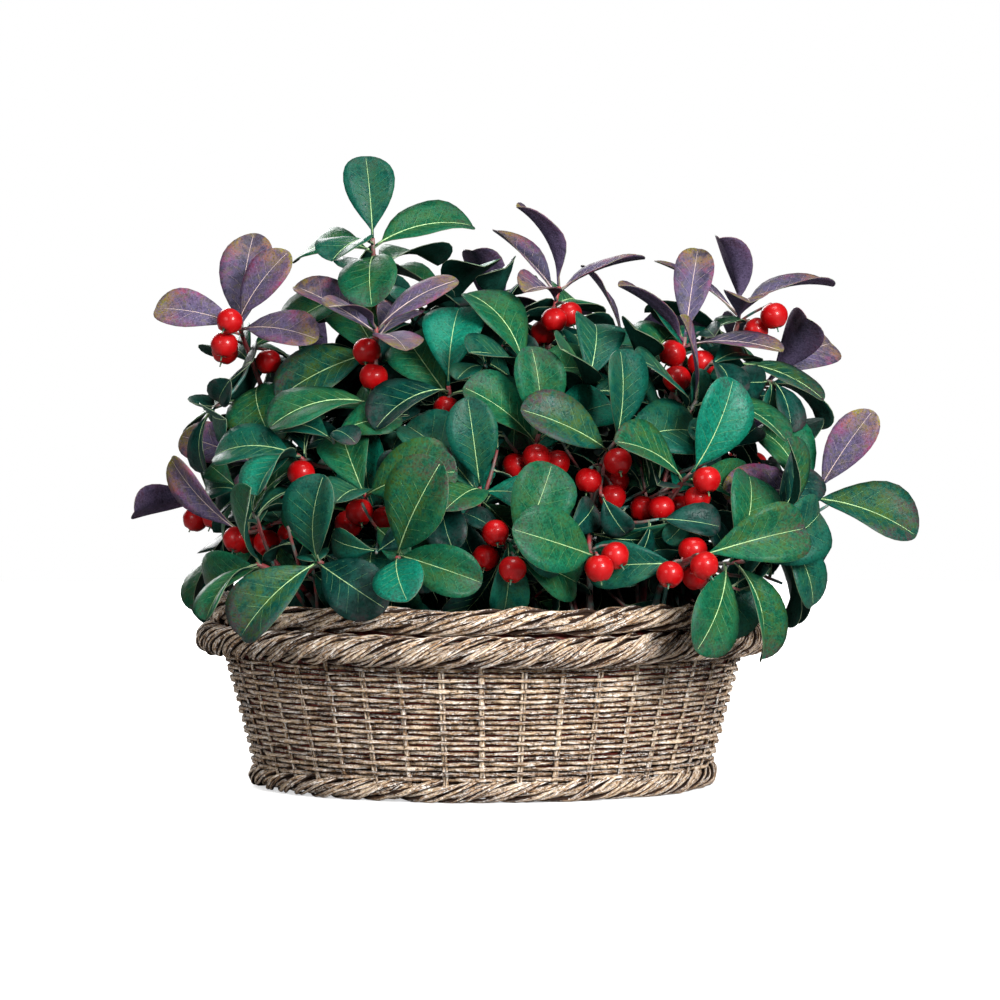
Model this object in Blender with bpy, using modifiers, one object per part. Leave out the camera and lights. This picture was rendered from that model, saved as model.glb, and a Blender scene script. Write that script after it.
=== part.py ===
"""A gaultheria in a round willow basket: a low evergreen shrub with leathery leaves, purple at the young
tips, and red berries.

Everything is in metres, +Z up. The basket and the plant are laid out about the basket's own axis, and at
the end the whole part is moved so that the origin lies on the floor under the middle of its outline.
"""

import math
import random
from collections import namedtuple

import bmesh
import bpy
from mathutils import Matrix, Vector
from mathutils.bvhtree import BVHTree

FIT_GAP = 0.0003  # clearance between two pieces that touch

# Basket, by its measured rings: radius is from the basket's axis to the middle of the rod or rope.
STAKES = 40
ROW_PITCH = 0.00214
ROWS = 21
WALL_FOOT = 0.0105
WALL_FOOT_RADIUS = 0.0976  # crest of the lowest weaver
WALL_FLARE = 0.262  # outward travel for each metre of height
WALL_THICKNESS = 0.0044
WEAVE_RELIEF = 0.0013
WALL_TOP = WALL_FOOT + ROWS * ROW_PITCH
COLLAR_RADIUS = 0.1048  # above the weave the liner stands upright inside the borders

Rope = namedtuple("Rope", "name radius height thickness strands turns")
FOOT_BORDER = Rope("foot_border", 0.0933, 0.0047, 0.0055, 4, 10)
OUTER_BORDER = Rope("outer_border", 0.1133, 0.0623, 0.0066, 5, 12)
UPPER_BORDER = Rope("upper_border", 0.1108, 0.0742, 0.0054, 4, 9)
ROPE_STEPS_PER_TURN = 6

BASE_BOTTOM = 0.0108
BASE_THICKNESS = 0.0030
LINER_THICKNESS = 0.0012
LINER_TOP = 0.0752
SOIL_TOP = 0.0640

# One leaf, and how it varies from leaf to leaf. A share is of the leaf's own length.
LEAF_LENGTH = 0.044
SIZE_RANGE = (0.88, 1.10)
YOUNGEST_SIZE = 0.9
LEAF_WIDTH_SHARE = 0.66
YOUNG_WIDTH_SHARE = 0.48  # the purple leaves at a shoot's tip are slimmer
WIDTH_RANGE = (0.90, 1.08)
LEAF_THICKNESS = 0.0008
PETIOLE_WIDTH = 0.0013
PETIOLE_SHARE = 0.09
BLADE_BASE_POWER = 0.90  # below 1 makes a blunt base
BLADE_TIP_POWER = 0.50  # 0.5 makes a round tip
ARCH_RANGE = (38, 86)  # degrees that the midrib bends down along its whole length
YOUNG_ARCH_SHARE = 0.6  # the purple leaves bend less
FOLD_RANGE = (3, 12)  # degrees that each half rises from the midrib
ROLL_RANGE = (-14, 14)  # degrees that the blade turns about its midrib
SECTIONS = (-0.004, 0.10, 0.50, 0.86, 1.0)  # where along its length the solid leaf has corners

# Where leaves stand on a shoot: crowded at its tip, then spaced down it, each turned by the golden angle.
GOLDEN_ANGLE = math.radians(137.5)
CROWN_LEAVES = 5
CROWN_GAP = 0.0020
STEM_GAP = 0.0085
YOUNG_TILT = 26  # degrees off the shoot for the youngest leaf; older ones open out by TILT_SPREAD more
TILT_SPREAD = 55
TILT_PACE = 2.2  # leaves that it takes to open most of the way
TILT_WANDER = (-8, 8)
TURN_WANDER = (-10, 10)
TILT_LIMITS = (12, 112)

# How a leaf gives way where its first place is taken: turn about the shoot, tilt, share of its size.
TRIES = (
    (0, 0, 1.0),
    (14, 0, 1.0),
    (-14, 0, 1.0),
    (26, -8, 1.0),
    (-26, -8, 1.0),
    (0, 16, 0.95),
    (0, -16, 0.95),
    (20, 18, 0.88),
    (-20, 18, 0.88),
    (34, -16, 0.85),
    (-34, -16, 0.85),
)
LEAF_CLEARANCE = 0.0007
NEIGHBOUR_REACH = 2.2 * LEAF_LENGTH  # leaves rooted further apart than this can't meet
SOIL_CLEARANCE = 0.0015

BERRY_RADIUS = 0.0058
BERRY_REACH = 0.0096
BERRY_START = 0.0080  # how far below the shoot's tip the first one hangs, and how much lower each next one
BERRY_STEP = 0.0028
BERRY_FAN = (0, 58, -58, 112, -112)  # degrees round the shoot from its sunny side
BERRY_FAN_WANDER = (-10, 10)
BERRY_DROP = (0.002, 0.006)
BERRY_STALK_RADIUS = 0.0007
LIGHT_WAY = 0.035  # no leaf stands this close in front of a berry, along a way that narrows as it goes
LIGHT_RADII = (0.003, 0.002)
SUN_REACH = 0.05  # the light comes from the front: the sunny side turns toward -Y by this much

STEM_FLARE_RADIUS = 0.0026
COLLAR_STEM_RADIUS = 0.0018  # just above the root flare
STEM_RADIUS = 0.0016
FORK_RADIUS = 0.0012
SIDE_TWIG_RADIUS = 0.0010
TIP_RADIUS = 0.0009
STEM_SIDES = 5
STEM_STEPS = 5
TWIG_SIDES = 3
TWIG_STEPS = 3
FORK_SHARE = 0.42  # of the main stem's length is the bare stem, the rest carries leaves
FORK_GAP = 1.3 * FIT_GAP
SIDE_SHARE = 0.52  # where the side shoot leaves the main one
RISE_SHARE = 0.42  # how far a stem keeps to the way it sets out in, and then to its tip's way
ARRIVAL_SHARE = 0.36
SMALL_STEP = 0.02  # along a curve, for reading its direction

# A shoot is given by its tip, how far it leans outward, the turn of its first leaf, and what it bears: all
# its leaves, how many of them are still young and purple, and its berries.
Shoot = namedtuple("Shoot", "x y z lean turn leaves young berries pull", defaults=(0.0,))
Stem = namedtuple("Stem", "name x y shoots")
STEMS = (
    Stem("tall_left", -0.034, -0.004, (
        Shoot(-0.046, -0.010, 0.2290, 30, 104, 12, 0, 0, 0.95),
        Shoot(-0.044, -0.040, 0.192, 25, 250, 8, 5, 2, 0.8),
    )),
    Stem("far_left", -0.068, 0.002, (
        Shoot(-0.102, -0.014, 0.194, 52, 46, 8, 5, 4, 0.85),
        Shoot(-0.098, 0.014, 0.160, 50, 250, 7, 0, 0),
    )),
    Stem("left", -0.074, -0.020, (
        Shoot(-0.094, -0.022, 0.135, 55, 200, 7, 3, 0),
        Shoot(-0.100, -0.046, 0.108, 72, 160, 7, 2, 4),
    )),
    Stem("left_rim", -0.066, -0.050, (
        Shoot(-0.092, -0.074, 0.096, 74, 262, 3, 0, 0),
        Shoot(-0.066, -0.096, 0.098, 78, 64, 4, 0, 0),
    )),
    Stem("left_front", -0.046, -0.030, (
        Shoot(-0.045, -0.052, 0.162, 34, 100, 8, 0, 0),
        Shoot(-0.076, -0.060, 0.140, 50, 190, 7, 0, 1),
    )),
    Stem("front_left", -0.034, -0.068, (
        Shoot(-0.048, -0.080, 0.125, 60, 215, 9, 0, 3, 0.7),
        Shoot(-0.034, -0.108, 0.100, 80, 300, 7, 0, 0),
    )),
    Stem("mid_front", -0.010, -0.034, (
        Shoot(-0.014, -0.054, 0.168, 32, 80, 8, 0, 2),
        Shoot(0.017, -0.045, 0.174, 26, 80, 7, 0, 0),
    )),
    Stem("front", -0.004, -0.070, (
        Shoot(-0.001, -0.090, 0.128, 58, 100, 8, 0, 0),
        Shoot(0.014, -0.110, 0.100, 80, 280, 7, 0, 3),
    )),
    Stem("front_mid_right", 0.022, -0.054, (
        Shoot(0.023, -0.076, 0.149, 50, 100, 8, 0, 3),
        Shoot(0.043, -0.052, 0.168, 34, 60, 7, 0, 0),
    )),
    Stem("front_right", 0.044, -0.070, (
        Shoot(0.054, -0.080, 0.146, 54, 85, 8, 0, 4),
        Shoot(0.046, -0.110, 0.099, 82, 250, 7, 0, 2),
    )),
    Stem("right_front", 0.066, -0.044, (
        Shoot(0.085, -0.078, 0.133, 56, 70, 8, 0, 5),
        Shoot(0.088, -0.048, 0.162, 38, 120, 7, 1, 0),
    )),
    Stem("right_rim", 0.070, -0.066, (
        Shoot(0.088, -0.110, 0.101, 80, 215, 9, 0, 4),
        Shoot(0.106, -0.092, 0.098, 78, 20, 6, 0, 0),
    )),
    Stem("right", 0.084, -0.022, (
        Shoot(0.120, -0.078, 0.112, 66, 120, 8, 0, 0),
        Shoot(0.138, -0.046, 0.124, 58, 50, 8, 2, 0, 0.7),
    )),
    Stem("top_right", 0.076, 0.008, (
        Shoot(0.108, -0.002, 0.201, 8, 150, 10, 5, 2),
        Shoot(0.122, 0.018, 0.170, 50, 0, 8, 2, 1),
    )),
    Stem("upper_right", 0.060, -0.012, (
        Shoot(0.084, -0.026, 0.188, 14, 40, 9, 3, 3, 0.6),
        Shoot(0.064, -0.030, 0.174, 26, 210, 7, 0, 0),
    )),
    Stem("top_middle", 0.024, 0.000, (
        Shoot(0.032, -0.004, 0.209, 14, 150, 12, 4, 3),
        Shoot(-0.014, 0.022, 0.200, 10, 300, 7, 0, 0),
    )),
    Stem("back_left", -0.046, 0.036, (
        Shoot(-0.066, 0.050, 0.172, 34, 60, 8, 3, 2),
        Shoot(-0.090, 0.080, 0.132, 56, 140, 7, 0, 0),
    )),
    Stem("back_far_left", -0.080, 0.032, (
        Shoot(-0.120, 0.038, 0.118, 68, 200, 7, 2, 2),
        Shoot(-0.104, 0.068, 0.098, 80, 130, 6, 0, 0),
    )),
    Stem("back_left_rim", -0.036, 0.072, (
        Shoot(-0.052, 0.112, 0.104, 78, 100, 7, 0, 3),
        Shoot(-0.018, 0.104, 0.136, 58, 70, 7, 0, 0),
    )),
    Stem("back_middle", 0.000, 0.046, (
        Shoot(0.006, 0.058, 0.190, 22, 80, 8, 4, 2),
        Shoot(-0.032, 0.068, 0.166, 36, 110, 7, 0, 0),
    )),
    Stem("back_right", 0.048, 0.042, (
        Shoot(0.060, 0.050, 0.184, 28, 50, 8, 3, 0),
        Shoot(0.040, 0.088, 0.150, 48, 90, 7, 0, 3),
    )),
    Stem("back_right_rim", 0.040, 0.076, (
        Shoot(0.050, 0.114, 0.104, 78, 80, 7, 0, 0),
        Shoot(0.082, 0.094, 0.126, 64, 30, 7, 0, 2),
    )),
    Stem("back_far_right", 0.082, 0.034, (
        Shoot(0.112, 0.050, 0.140, 54, 20, 7, 2, 3),
        Shoot(0.124, 0.030, 0.102, 80, 350, 6, 0, 0),
    )),
)

# Solid colours read from the photograph; each is a Principled BSDF base colour with its roughness.
COLOURS = {
    "willow": ((0.30, 0.22, 0.15), 0.8),
    "liner": ((0.20, 0.06, 0.04), 0.7),
    "compost": ((0.04, 0.025, 0.015), 0.95),
    "stem": ((0.16, 0.22, 0.14), 0.6),
    "leaf": ((0.02, 0.16, 0.09), 0.45),
}


def clear_scene():
    for thing in list(bpy.data.objects):
        bpy.data.objects.remove(thing)


def new_collection(name):
    collection = bpy.data.collections.new(name)
    bpy.context.scene.collection.children.link(collection)
    return collection


def material(slot):
    """The Principled material for one colour of COLOURS, made once."""
    found = bpy.data.materials.get(slot)
    if found:
        return found
    colour, roughness = COLOURS[slot]
    made = bpy.data.materials.new(slot)
    made.use_nodes = True
    shader = made.node_tree.nodes["Principled BSDF"]
    shader.inputs["Base Color"].default_value = (*colour, 1)
    shader.inputs["Roughness"].default_value = roughness
    made.diffuse_color = (*colour, 1)
    return made


def object_from_bmesh(name, shape, slot, collection):
    bmesh.ops.recalc_face_normals(shape, faces=shape.faces)
    mesh = bpy.data.meshes.new(name)
    shape.to_mesh(mesh)
    shape.free()
    mesh.materials.append(material(slot))
    made = bpy.data.objects.new(name, mesh)
    collection.objects.link(made)
    return made


def mesh_from_object(name, source, slot, collection):
    """A plain mesh object of what source shows with its curve or modifiers, caps welded; source goes."""
    bpy.context.view_layer.update()
    graph = bpy.context.evaluated_depsgraph_get()
    mesh = bpy.data.meshes.new_from_object(source.evaluated_get(graph))
    shape = bmesh.new()
    shape.from_mesh(mesh)
    bmesh.ops.remove_doubles(shape, verts=shape.verts, dist=1e-6)
    shape.transform(source.matrix_world)
    bpy.data.meshes.remove(mesh)
    bpy.data.objects.remove(source)
    return object_from_bmesh(name, shape, slot, collection)


def curve_object(name, points, collection, cyclic=False):
    """A 3D curve of one POLY spline through points, with no thickness yet."""
    curve = bpy.data.curves.new(name, "CURVE")
    curve.dimensions = "3D"
    spline = curve.splines.new("POLY")
    spline.points.add(len(points) - 1)
    for knot, point in zip(spline.points, points):
        knot.co = (*point, 1)
    spline.use_cyclic_u = cyclic
    made = bpy.data.objects.new(name, curve)
    collection.objects.link(made)
    return made


def section_object(name, sides, radius, collection):
    """A flat regular polygon that a curve can carry along itself as its cross-section."""
    corners = [
        (radius * math.cos(math.tau * k / sides), radius * math.sin(math.tau * k / sides), 0)
        for k in range(sides)
    ]
    made = curve_object(name, corners, collection, cyclic=True)
    made.data.dimensions = "2D"
    made.data.fill_mode = "NONE"
    made.hide_render = True
    made.display_type = "WIRE"
    return made


def rope_border(rope, helpers, collection):
    """A border of twisted rods: a section with a corner for each strand, carried round and turned."""
    steps = rope.turns * ROPE_STEPS_PER_TURN
    angles = [math.tau * k / steps for k in range(steps)]
    ring = [(rope.radius * math.cos(a), rope.radius * math.sin(a), rope.height) for a in angles]
    path = curve_object(rope.name + "_path", ring, helpers, cyclic=True)
    path.data.twist_mode = "Z_UP"
    path.data.bevel_mode = "OBJECT"
    path.data.bevel_object = section_object(
        rope.name + "_section", rope.strands, rope.thickness, helpers
    )
    for k, knot in enumerate(path.data.splines[0].points):
        knot.tilt = math.tau * k / ROPE_STEPS_PER_TURN
    return mesh_from_object(rope.name, path, "willow", collection)


def cut_flat_under(piece, helpers):
    """Slices off what lies below the floor, which leaves the flats that the basket stands on."""
    slab = 4 * FOOT_BORDER.thickness
    width = 4 * FOOT_BORDER.radius
    shape = bmesh.new()
    bmesh.ops.create_cube(shape, size=1)
    bmesh.ops.scale(shape, verts=shape.verts, vec=(width, width, slab))
    bmesh.ops.translate(shape, verts=shape.verts, vec=(0, 0, -slab / 2))
    cutter = object_from_bmesh("floor_cutter", shape, "willow", helpers)
    cutter.hide_render = True
    cutter.display_type = "WIRE"
    cut = piece.modifiers.new("flat underside", "BOOLEAN")
    cut.operation = "DIFFERENCE"
    cut.object = cutter


def wall_radius(height):
    """Outermost reach of the weave at this height."""
    return WALL_FOOT_RADIUS + WALL_FLARE * (height - WALL_FOOT)


def side_wall(collection):
    """The woven wall: a flaring ring whose skin goes in and out by turns at each stake, row over row."""
    shape = bmesh.new()
    bmesh.ops.create_grid(shape, x_segments=STAKES, y_segments=ROWS, size=0.5)
    for corner in shape.verts:
        column = round((corner.co.x + 0.5) * STAKES)
        row = round((corner.co.y + 0.5) * ROWS)
        height = WALL_FOOT + row * ROW_PITCH
        under = (column + row) % 2
        radius = wall_radius(height) - under * WEAVE_RELIEF
        angle = -math.tau * column / STAKES
        corner.co = (radius * math.cos(angle), radius * math.sin(angle), height)
    bmesh.ops.remove_doubles(shape, verts=shape.verts, dist=1e-6)
    rims = [edge for edge in shape.edges if edge.is_boundary]
    made = bmesh.ops.extrude_edge_only(shape, edges=rims)["geom"]
    for corner in [item for item in made if isinstance(item, bmesh.types.BMVert)]:
        inner = wall_radius(corner.co.z) - WALL_THICKNESS
        corner.co.xy = corner.co.xy.normalized() * inner
    inner_rims = [item for item in made if isinstance(item, bmesh.types.BMEdge)]
    bmesh.ops.bridge_loops(shape, edges=inner_rims)
    return object_from_bmesh("side_wall", shape, "willow", collection)


def base_board(collection):
    shape = bmesh.new()
    radius = wall_radius(BASE_BOTTOM) - WALL_THICKNESS - FIT_GAP
    bmesh.ops.create_cone(
        shape, cap_ends=True, segments=STAKES, radius1=radius, radius2=radius, depth=BASE_THICKNESS
    )
    bmesh.ops.translate(shape, verts=shape.verts, vec=(0, 0, BASE_BOTTOM + BASE_THICKNESS / 2))
    return object_from_bmesh("base_board", shape, "willow", collection)


def turned(name, profile, slot, collection):
    """A profile of (radius, height) points, listed down its outer side, turned about the axis."""
    mesh = bpy.data.meshes.new(name)
    corners = [(radius, 0, height) for radius, height in profile]
    mesh.from_pydata(corners, [(k, k + 1) for k in range(len(corners) - 1)], [])
    mesh.materials.append(material(slot))
    made = bpy.data.objects.new(name, mesh)
    collection.objects.link(made)
    screw = made.modifiers.new("turn", "SCREW")
    screw.steps = screw.render_steps = STAKES
    screw.use_merge_vertices = True
    screw.merge_threshold = 0.0001
    return made


def liner_outer_radius(height):
    """The liner follows the inside of the weave, then stands upright inside the borders."""
    along_wall = wall_radius(height) - WALL_THICKNESS - FIT_GAP
    return min(along_wall, COLLAR_RADIUS)


def liner(collection):
    floor = BASE_BOTTOM + BASE_THICKNESS + FIT_GAP
    levels = (LINER_TOP, WALL_TOP, floor)
    outer = [(liner_outer_radius(level), level) for level in levels]
    inner = [
        (radius - LINER_THICKNESS, max(level, floor + LINER_THICKNESS)) for radius, level in outer[::-1]
    ]
    return turned("liner", [(0, floor + LINER_THICKNESS), *inner, *outer, (0, floor)], "liner", collection)


def soil(collection):
    floor = BASE_BOTTOM + BASE_THICKNESS + LINER_THICKNESS + 2 * FIT_GAP
    side = [
        (liner_outer_radius(level) - LINER_THICKNESS - 2 * FIT_GAP, level)
        for level in (SOIL_TOP, WALL_TOP, floor)
    ]
    return turned("soil", [(0, SOIL_TOP), *side, (0, floor)], "compost", collection)


def bezier(points, share):
    """A point on the cubic through four control points, by repeated mixing of neighbours."""
    while len(points) > 1:
        points = [a.lerp(b, share) for a, b in zip(points, points[1:])]
    return points[0]


def shoot_axis(shoot):
    """The way a shoot's tip points: leaning by its lean, outward from the basket's axis or, as far as it is
    pulled, toward the light in front."""
    outward = Vector((shoot.x, shoot.y, 0)).normalized().lerp(Vector((0, -1, 0)), shoot.pull).normalized()
    lean = math.radians(shoot.lean)
    return outward * math.sin(lean) + Vector((0, 0, 1)) * math.cos(lean)


def stem_controls(start, start_way, shoot):
    """Control points of a stem that sets out along start_way and ends at the shoot's tip, along its axis."""
    tip = Vector((shoot.x, shoot.y, shoot.z))
    span = (tip - start).length
    return [start, start + start_way * span * RISE_SHARE, tip - shoot_axis(shoot) * span * ARRIVAL_SHARE, tip]


def path_between(controls, low, high, steps):
    return [bezier(controls, low + (high - low) * k / steps) for k in range(steps + 1)]


def back_from_tip(points, distance):
    """The point of a path of straight rods that lies this far back from its last point."""
    for near_tip, further in zip(points[::-1], points[-2::-1]):
        step = (near_tip - further).length
        if distance <= step:
            return near_tip.lerp(further, distance / step)
        distance -= step
    return points[0]


def blade_half_width(share, width):
    """Half the leaf's width at this share of its length: an obovate blade on a short stalk."""
    if share <= PETIOLE_SHARE:
        return PETIOLE_WIDTH / 2
    s = min((share - PETIOLE_SHARE) / (1 - PETIOLE_SHARE), 1)
    p, q = BLADE_BASE_POWER, BLADE_TIP_POWER
    peak = p / (p + q)
    blade = s**p * (1 - s) ** q / (peak**p * (1 - peak) ** q)
    return max(PETIOLE_WIDTH / 2, width / 2 * blade)


Leaf = namedtuple("Leaf", "root way face length width arch fold")


def leaf_point(leaf, share, across, above):
    """A point of the leaf: share of its length, across from -1 to 1, above its middle surface in metres.
    The midrib is an arc that bends away from the face, and the halves fold up from it."""
    bend = leaf.arch * share
    run = leaf.length / leaf.arch * math.sin(bend)
    drop = leaf.length / leaf.arch * (1 - math.cos(bend))
    face = leaf.face * math.cos(bend) + leaf.way * math.sin(bend)
    side = leaf.way.cross(leaf.face)
    half = blade_half_width(share, leaf.width) * across
    middle = leaf.root + leaf.way * run - leaf.face * drop
    return middle + side * half * math.cos(leaf.fold) + face * (abs(half) * math.sin(leaf.fold) + above)


def leaf_shape(leaf, shape, sides=3, grow=0.0, first=0):
    """Adds the leaf to shape as a sphere of three or four sides pressed flat: its poles are the root and the
    tip, one side's corners are the two edges and a keel under the midrib, a fourth lies over the midrib."""
    last = len(SECTIONS) - 1
    made = bmesh.ops.create_uvsphere(shape, u_segments=sides, v_segments=last, radius=1)
    for corner in made["verts"]:
        ring = round(math.acos(max(-1, min(1, corner.co.z))) / math.pi * last)
        share = SECTIONS[max(ring, first)]
        half = blade_half_width(share, leaf.width)
        across = above = 0
        if 0 < ring < last:
            column = round(math.atan2(corner.co.y, corner.co.x) / math.tau * sides) % sides
            if column == 0:
                above = -LEAF_THICKNESS - grow
            elif column in (1, sides - 1):
                across = (1 if column == 1 else -1) * (1 + grow / half)
            else:
                above = half * math.sin(leaf.fold) + grow
        reach = share + (grow / leaf.length if ring == last else 0)
        corner.co = leaf_point(leaf, reach, across, above)


def leaf_tree(leaf, grow, first=0):
    """The leaf's outline, grown by a clearance, as a tree that another can be tested against."""
    shape = bmesh.new()
    leaf_shape(leaf, shape, 4, grow, first)
    tree = BVHTree.FromBMesh(shape)
    shape.free()
    return tree


def shoot_leaves(stem, number, shoot, path):
    """Every place that the leaf rule offers on a shoot, youngest leaf first: for each a list of Leaf tries."""
    draw = random.Random(f"{stem.name} {number} {shoot.turn}")
    offers = []
    for k in range(shoot.leaves):
        crowded = min(k, CROWN_LEAVES - 1)
        back = CROWN_GAP * crowded + STEM_GAP * (k - crowded)
        tilt = YOUNG_TILT + TILT_SPREAD * (1 - math.exp(-k / TILT_PACE)) + draw.uniform(*TILT_WANDER)
        full_length = LEAF_LENGTH * (1.0 if k else YOUNGEST_SIZE) * draw.uniform(*SIZE_RANGE)
        width_share = (YOUNG_WIDTH_SHARE if k < shoot.young else LEAF_WIDTH_SHARE) * draw.uniform(*WIDTH_RANGE)
        arch = math.radians(draw.uniform(*ARCH_RANGE)) * (YOUNG_ARCH_SHARE if k < shoot.young else 1)
        fold = math.radians(draw.uniform(*FOLD_RANGE))
        roll = math.radians(draw.uniform(*ROLL_RANGE))
        wander = draw.uniform(*TURN_WANDER)
        root = back_from_tip(path, back)
        axis = back_from_tip(path, max(0, back - TIP_RADIUS)) - back_from_tip(path, back + TIP_RADIUS)
        if axis.length < TIP_RADIUS / 2:
            continue  # the twig is too short for this leaf
        axis = shoot_axis(shoot) if k < CROWN_LEAVES else axis.normalized()
        level = Vector((0, 0, 1)).cross(axis).normalized()
        tries = []
        for more_turn, more_tilt, share in TRIES:
            turn = math.radians(shoot.turn + wander + more_turn) + GOLDEN_ANGLE * k
            outward = Matrix.Rotation(turn, 3, axis) @ level
            lift = math.radians(min(max(tilt + more_tilt, TILT_LIMITS[0]), TILT_LIMITS[1]))
            way = axis * math.cos(lift) + outward * math.sin(lift)
            face = (axis - way * axis.dot(way)).normalized()
            face = Matrix.Rotation(roll, 3, way) @ face
            length = full_length * share
            tries.append(Leaf(root, way, face, length, length * width_share, arch, fold))
        offers.append(tries)
    return offers


Berry = namedtuple("Berry", "root centre light")


def shoot_berries(stem, number, shoot, path):
    """Berries hang just under a shoot's crowded leaves, fanned out on its sunny side."""
    draw = random.Random(f"{stem.name} {number} {shoot.turn} berries")
    sunny = Vector((shoot.x, shoot.y - SUN_REACH, 0)).normalized()
    light = Vector((0, -1 if shoot.y < SUN_REACH / 2 else 1, 0.1))
    found = []
    for k in range(shoot.berries):
        root = back_from_tip(path, BERRY_START + BERRY_STEP * k)
        fan = math.radians(BERRY_FAN[k] + draw.uniform(*BERRY_FAN_WANDER))
        outward = Matrix.Rotation(fan, 3, "Z") @ sunny
        drop = Vector((0, 0, draw.uniform(*BERRY_DROP)))
        found.append(Berry(root, root + outward * BERRY_REACH - drop, light))
    return found


def berry_tree(berry):
    """A berry with the clear way in front of it: a leaf that would stand in its light gives way."""
    shape = bmesh.new()
    bmesh.ops.create_icosphere(shape, subdivisions=1, radius=BERRY_RADIUS + LEAF_CLEARANCE)
    bmesh.ops.translate(shape, verts=shape.verts, vec=berry.centre)
    own = BVHTree.FromBMesh(shape)
    tube_between(shape, berry.centre, berry.centre + berry.light * LIGHT_WAY, LIGHT_RADII, STEM_SIDES)
    tree = BVHTree.FromBMesh(shape)
    shape.free()
    return own, tree


def tube_between(shape, low, high, radii, sides):
    """Adds a straight tapering rod from low to high."""
    way = high - low
    made = bmesh.ops.create_cone(
        shape, cap_ends=True, segments=sides, radius1=radii[0], radius2=radii[1], depth=way.length
    )
    turn = way.to_track_quat("Z", "Y").to_matrix()
    bmesh.ops.rotate(shape, verts=made["verts"], cent=(0, 0, 0), matrix=turn)
    bmesh.ops.translate(shape, verts=made["verts"], vec=(low + high) / 2)


def rod(name, points, radii, sides, slot, helpers, collection):
    """A tapering rod of that many sides along points, as a mesh."""
    path = curve_object(name + "_path", points, helpers)
    section = section_object(name + "_section", sides, 1.0, helpers)
    path.data.bevel_mode = "OBJECT"
    path.data.bevel_object = section
    path.data.use_fill_caps = True
    for knot, radius in zip(path.data.splines[0].points, radii):
        knot.radius = radius
    made = mesh_from_object(name, path, slot, collection)
    bpy.data.objects.remove(section)
    return made


def mixed(low, high, share):
    return low + (high - low) * share


def tree_of(piece):
    graph = bpy.context.evaluated_depsgraph_get()
    return BVHTree.FromObject(piece, graph)


def guard_ring(rope):
    """A plain ring a little fatter than a border, which no leaf may touch."""
    bpy.ops.mesh.primitive_torus_add(
        major_radius=rope.radius,
        minor_radius=rope.thickness + LEAF_CLEARANCE,
        major_segments=72,
        minor_segments=10,
    )
    ring = bpy.context.object
    for corner in ring.data.vertices:
        corner.co.z += rope.height
    bpy.context.view_layer.update()
    tree = tree_of(ring)
    bpy.data.objects.remove(ring)
    return tree


def guard_soil():
    """A level disc just above the soil, which no leaf may cross."""
    shape = bmesh.new()
    bmesh.ops.create_circle(shape, cap_ends=True, segments=STAKES, radius=COLLAR_RADIUS)
    bmesh.ops.translate(shape, verts=shape.verts, vec=(0, 0, SOIL_TOP + SOIL_CLEARANCE))
    tree = BVHTree.FromBMesh(shape)
    shape.free()
    return tree


def grown_stem(stem):
    """A stem's curves: the control points of its main shoot, then of the side shoot that branches off it."""
    foot = Vector((stem.x, stem.y, SOIL_TOP + FIT_GAP))
    main = stem_controls(foot, Vector((0, 0, 1)), stem.shoots[0])
    start = bezier(main, SIDE_SHARE)
    way = (bezier(main, SIDE_SHARE + SMALL_STEP) - start).normalized()
    return main, stem_controls(start, way, stem.shoots[1])


def stem_solid(stem, main, helpers, collection):
    """The bare stem: a flat foot on the soil, a root flare, then an even taper to its fork."""
    points = path_between(main, 0, FORK_SHARE, STEM_STEPS)
    points.insert(1, points[0].lerp(points[1], 1 / 3))
    radii = [STEM_FLARE_RADIUS, COLLAR_STEM_RADIUS]
    radii += [mixed(STEM_RADIUS, FORK_RADIUS, k / (STEM_STEPS - 1)) for k in range(STEM_STEPS)]
    return rod("stem_" + stem.name, points, radii, STEM_SIDES, "stem", helpers, collection)


def twig_paths(main, side):
    """The leafy part's own twigs, as paths: the main one goes on from the bare stem across a hair's gap, and
    the side one starts on it."""
    span = (main[3] - main[0]).length
    main_path = path_between(main, FORK_SHARE + FORK_GAP / span, 1, TWIG_STEPS)
    start = back_from_tip(main_path, span * (1 - SIDE_SHARE - FORK_SHARE))
    return main_path, [start, *path_between(side, 0, 1, TWIG_STEPS)[1:]]


def twig_rods(stem, paths, helpers, collection):
    """The leafy part's twigs as solids: the main one, then the thinner side one."""
    rods = []
    for number, (path, thick) in enumerate(zip(paths, (FORK_RADIUS, SIDE_TWIG_RADIUS))):
        radii = [mixed(thick, TIP_RADIUS, k / TWIG_STEPS) for k in range(TWIG_STEPS + 1)]
        name = f"twig_{stem.name}_{number}"
        rods.append(rod(name, path, radii, TWIG_SIDES, "leaf", helpers, collection))
    return rods


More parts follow.
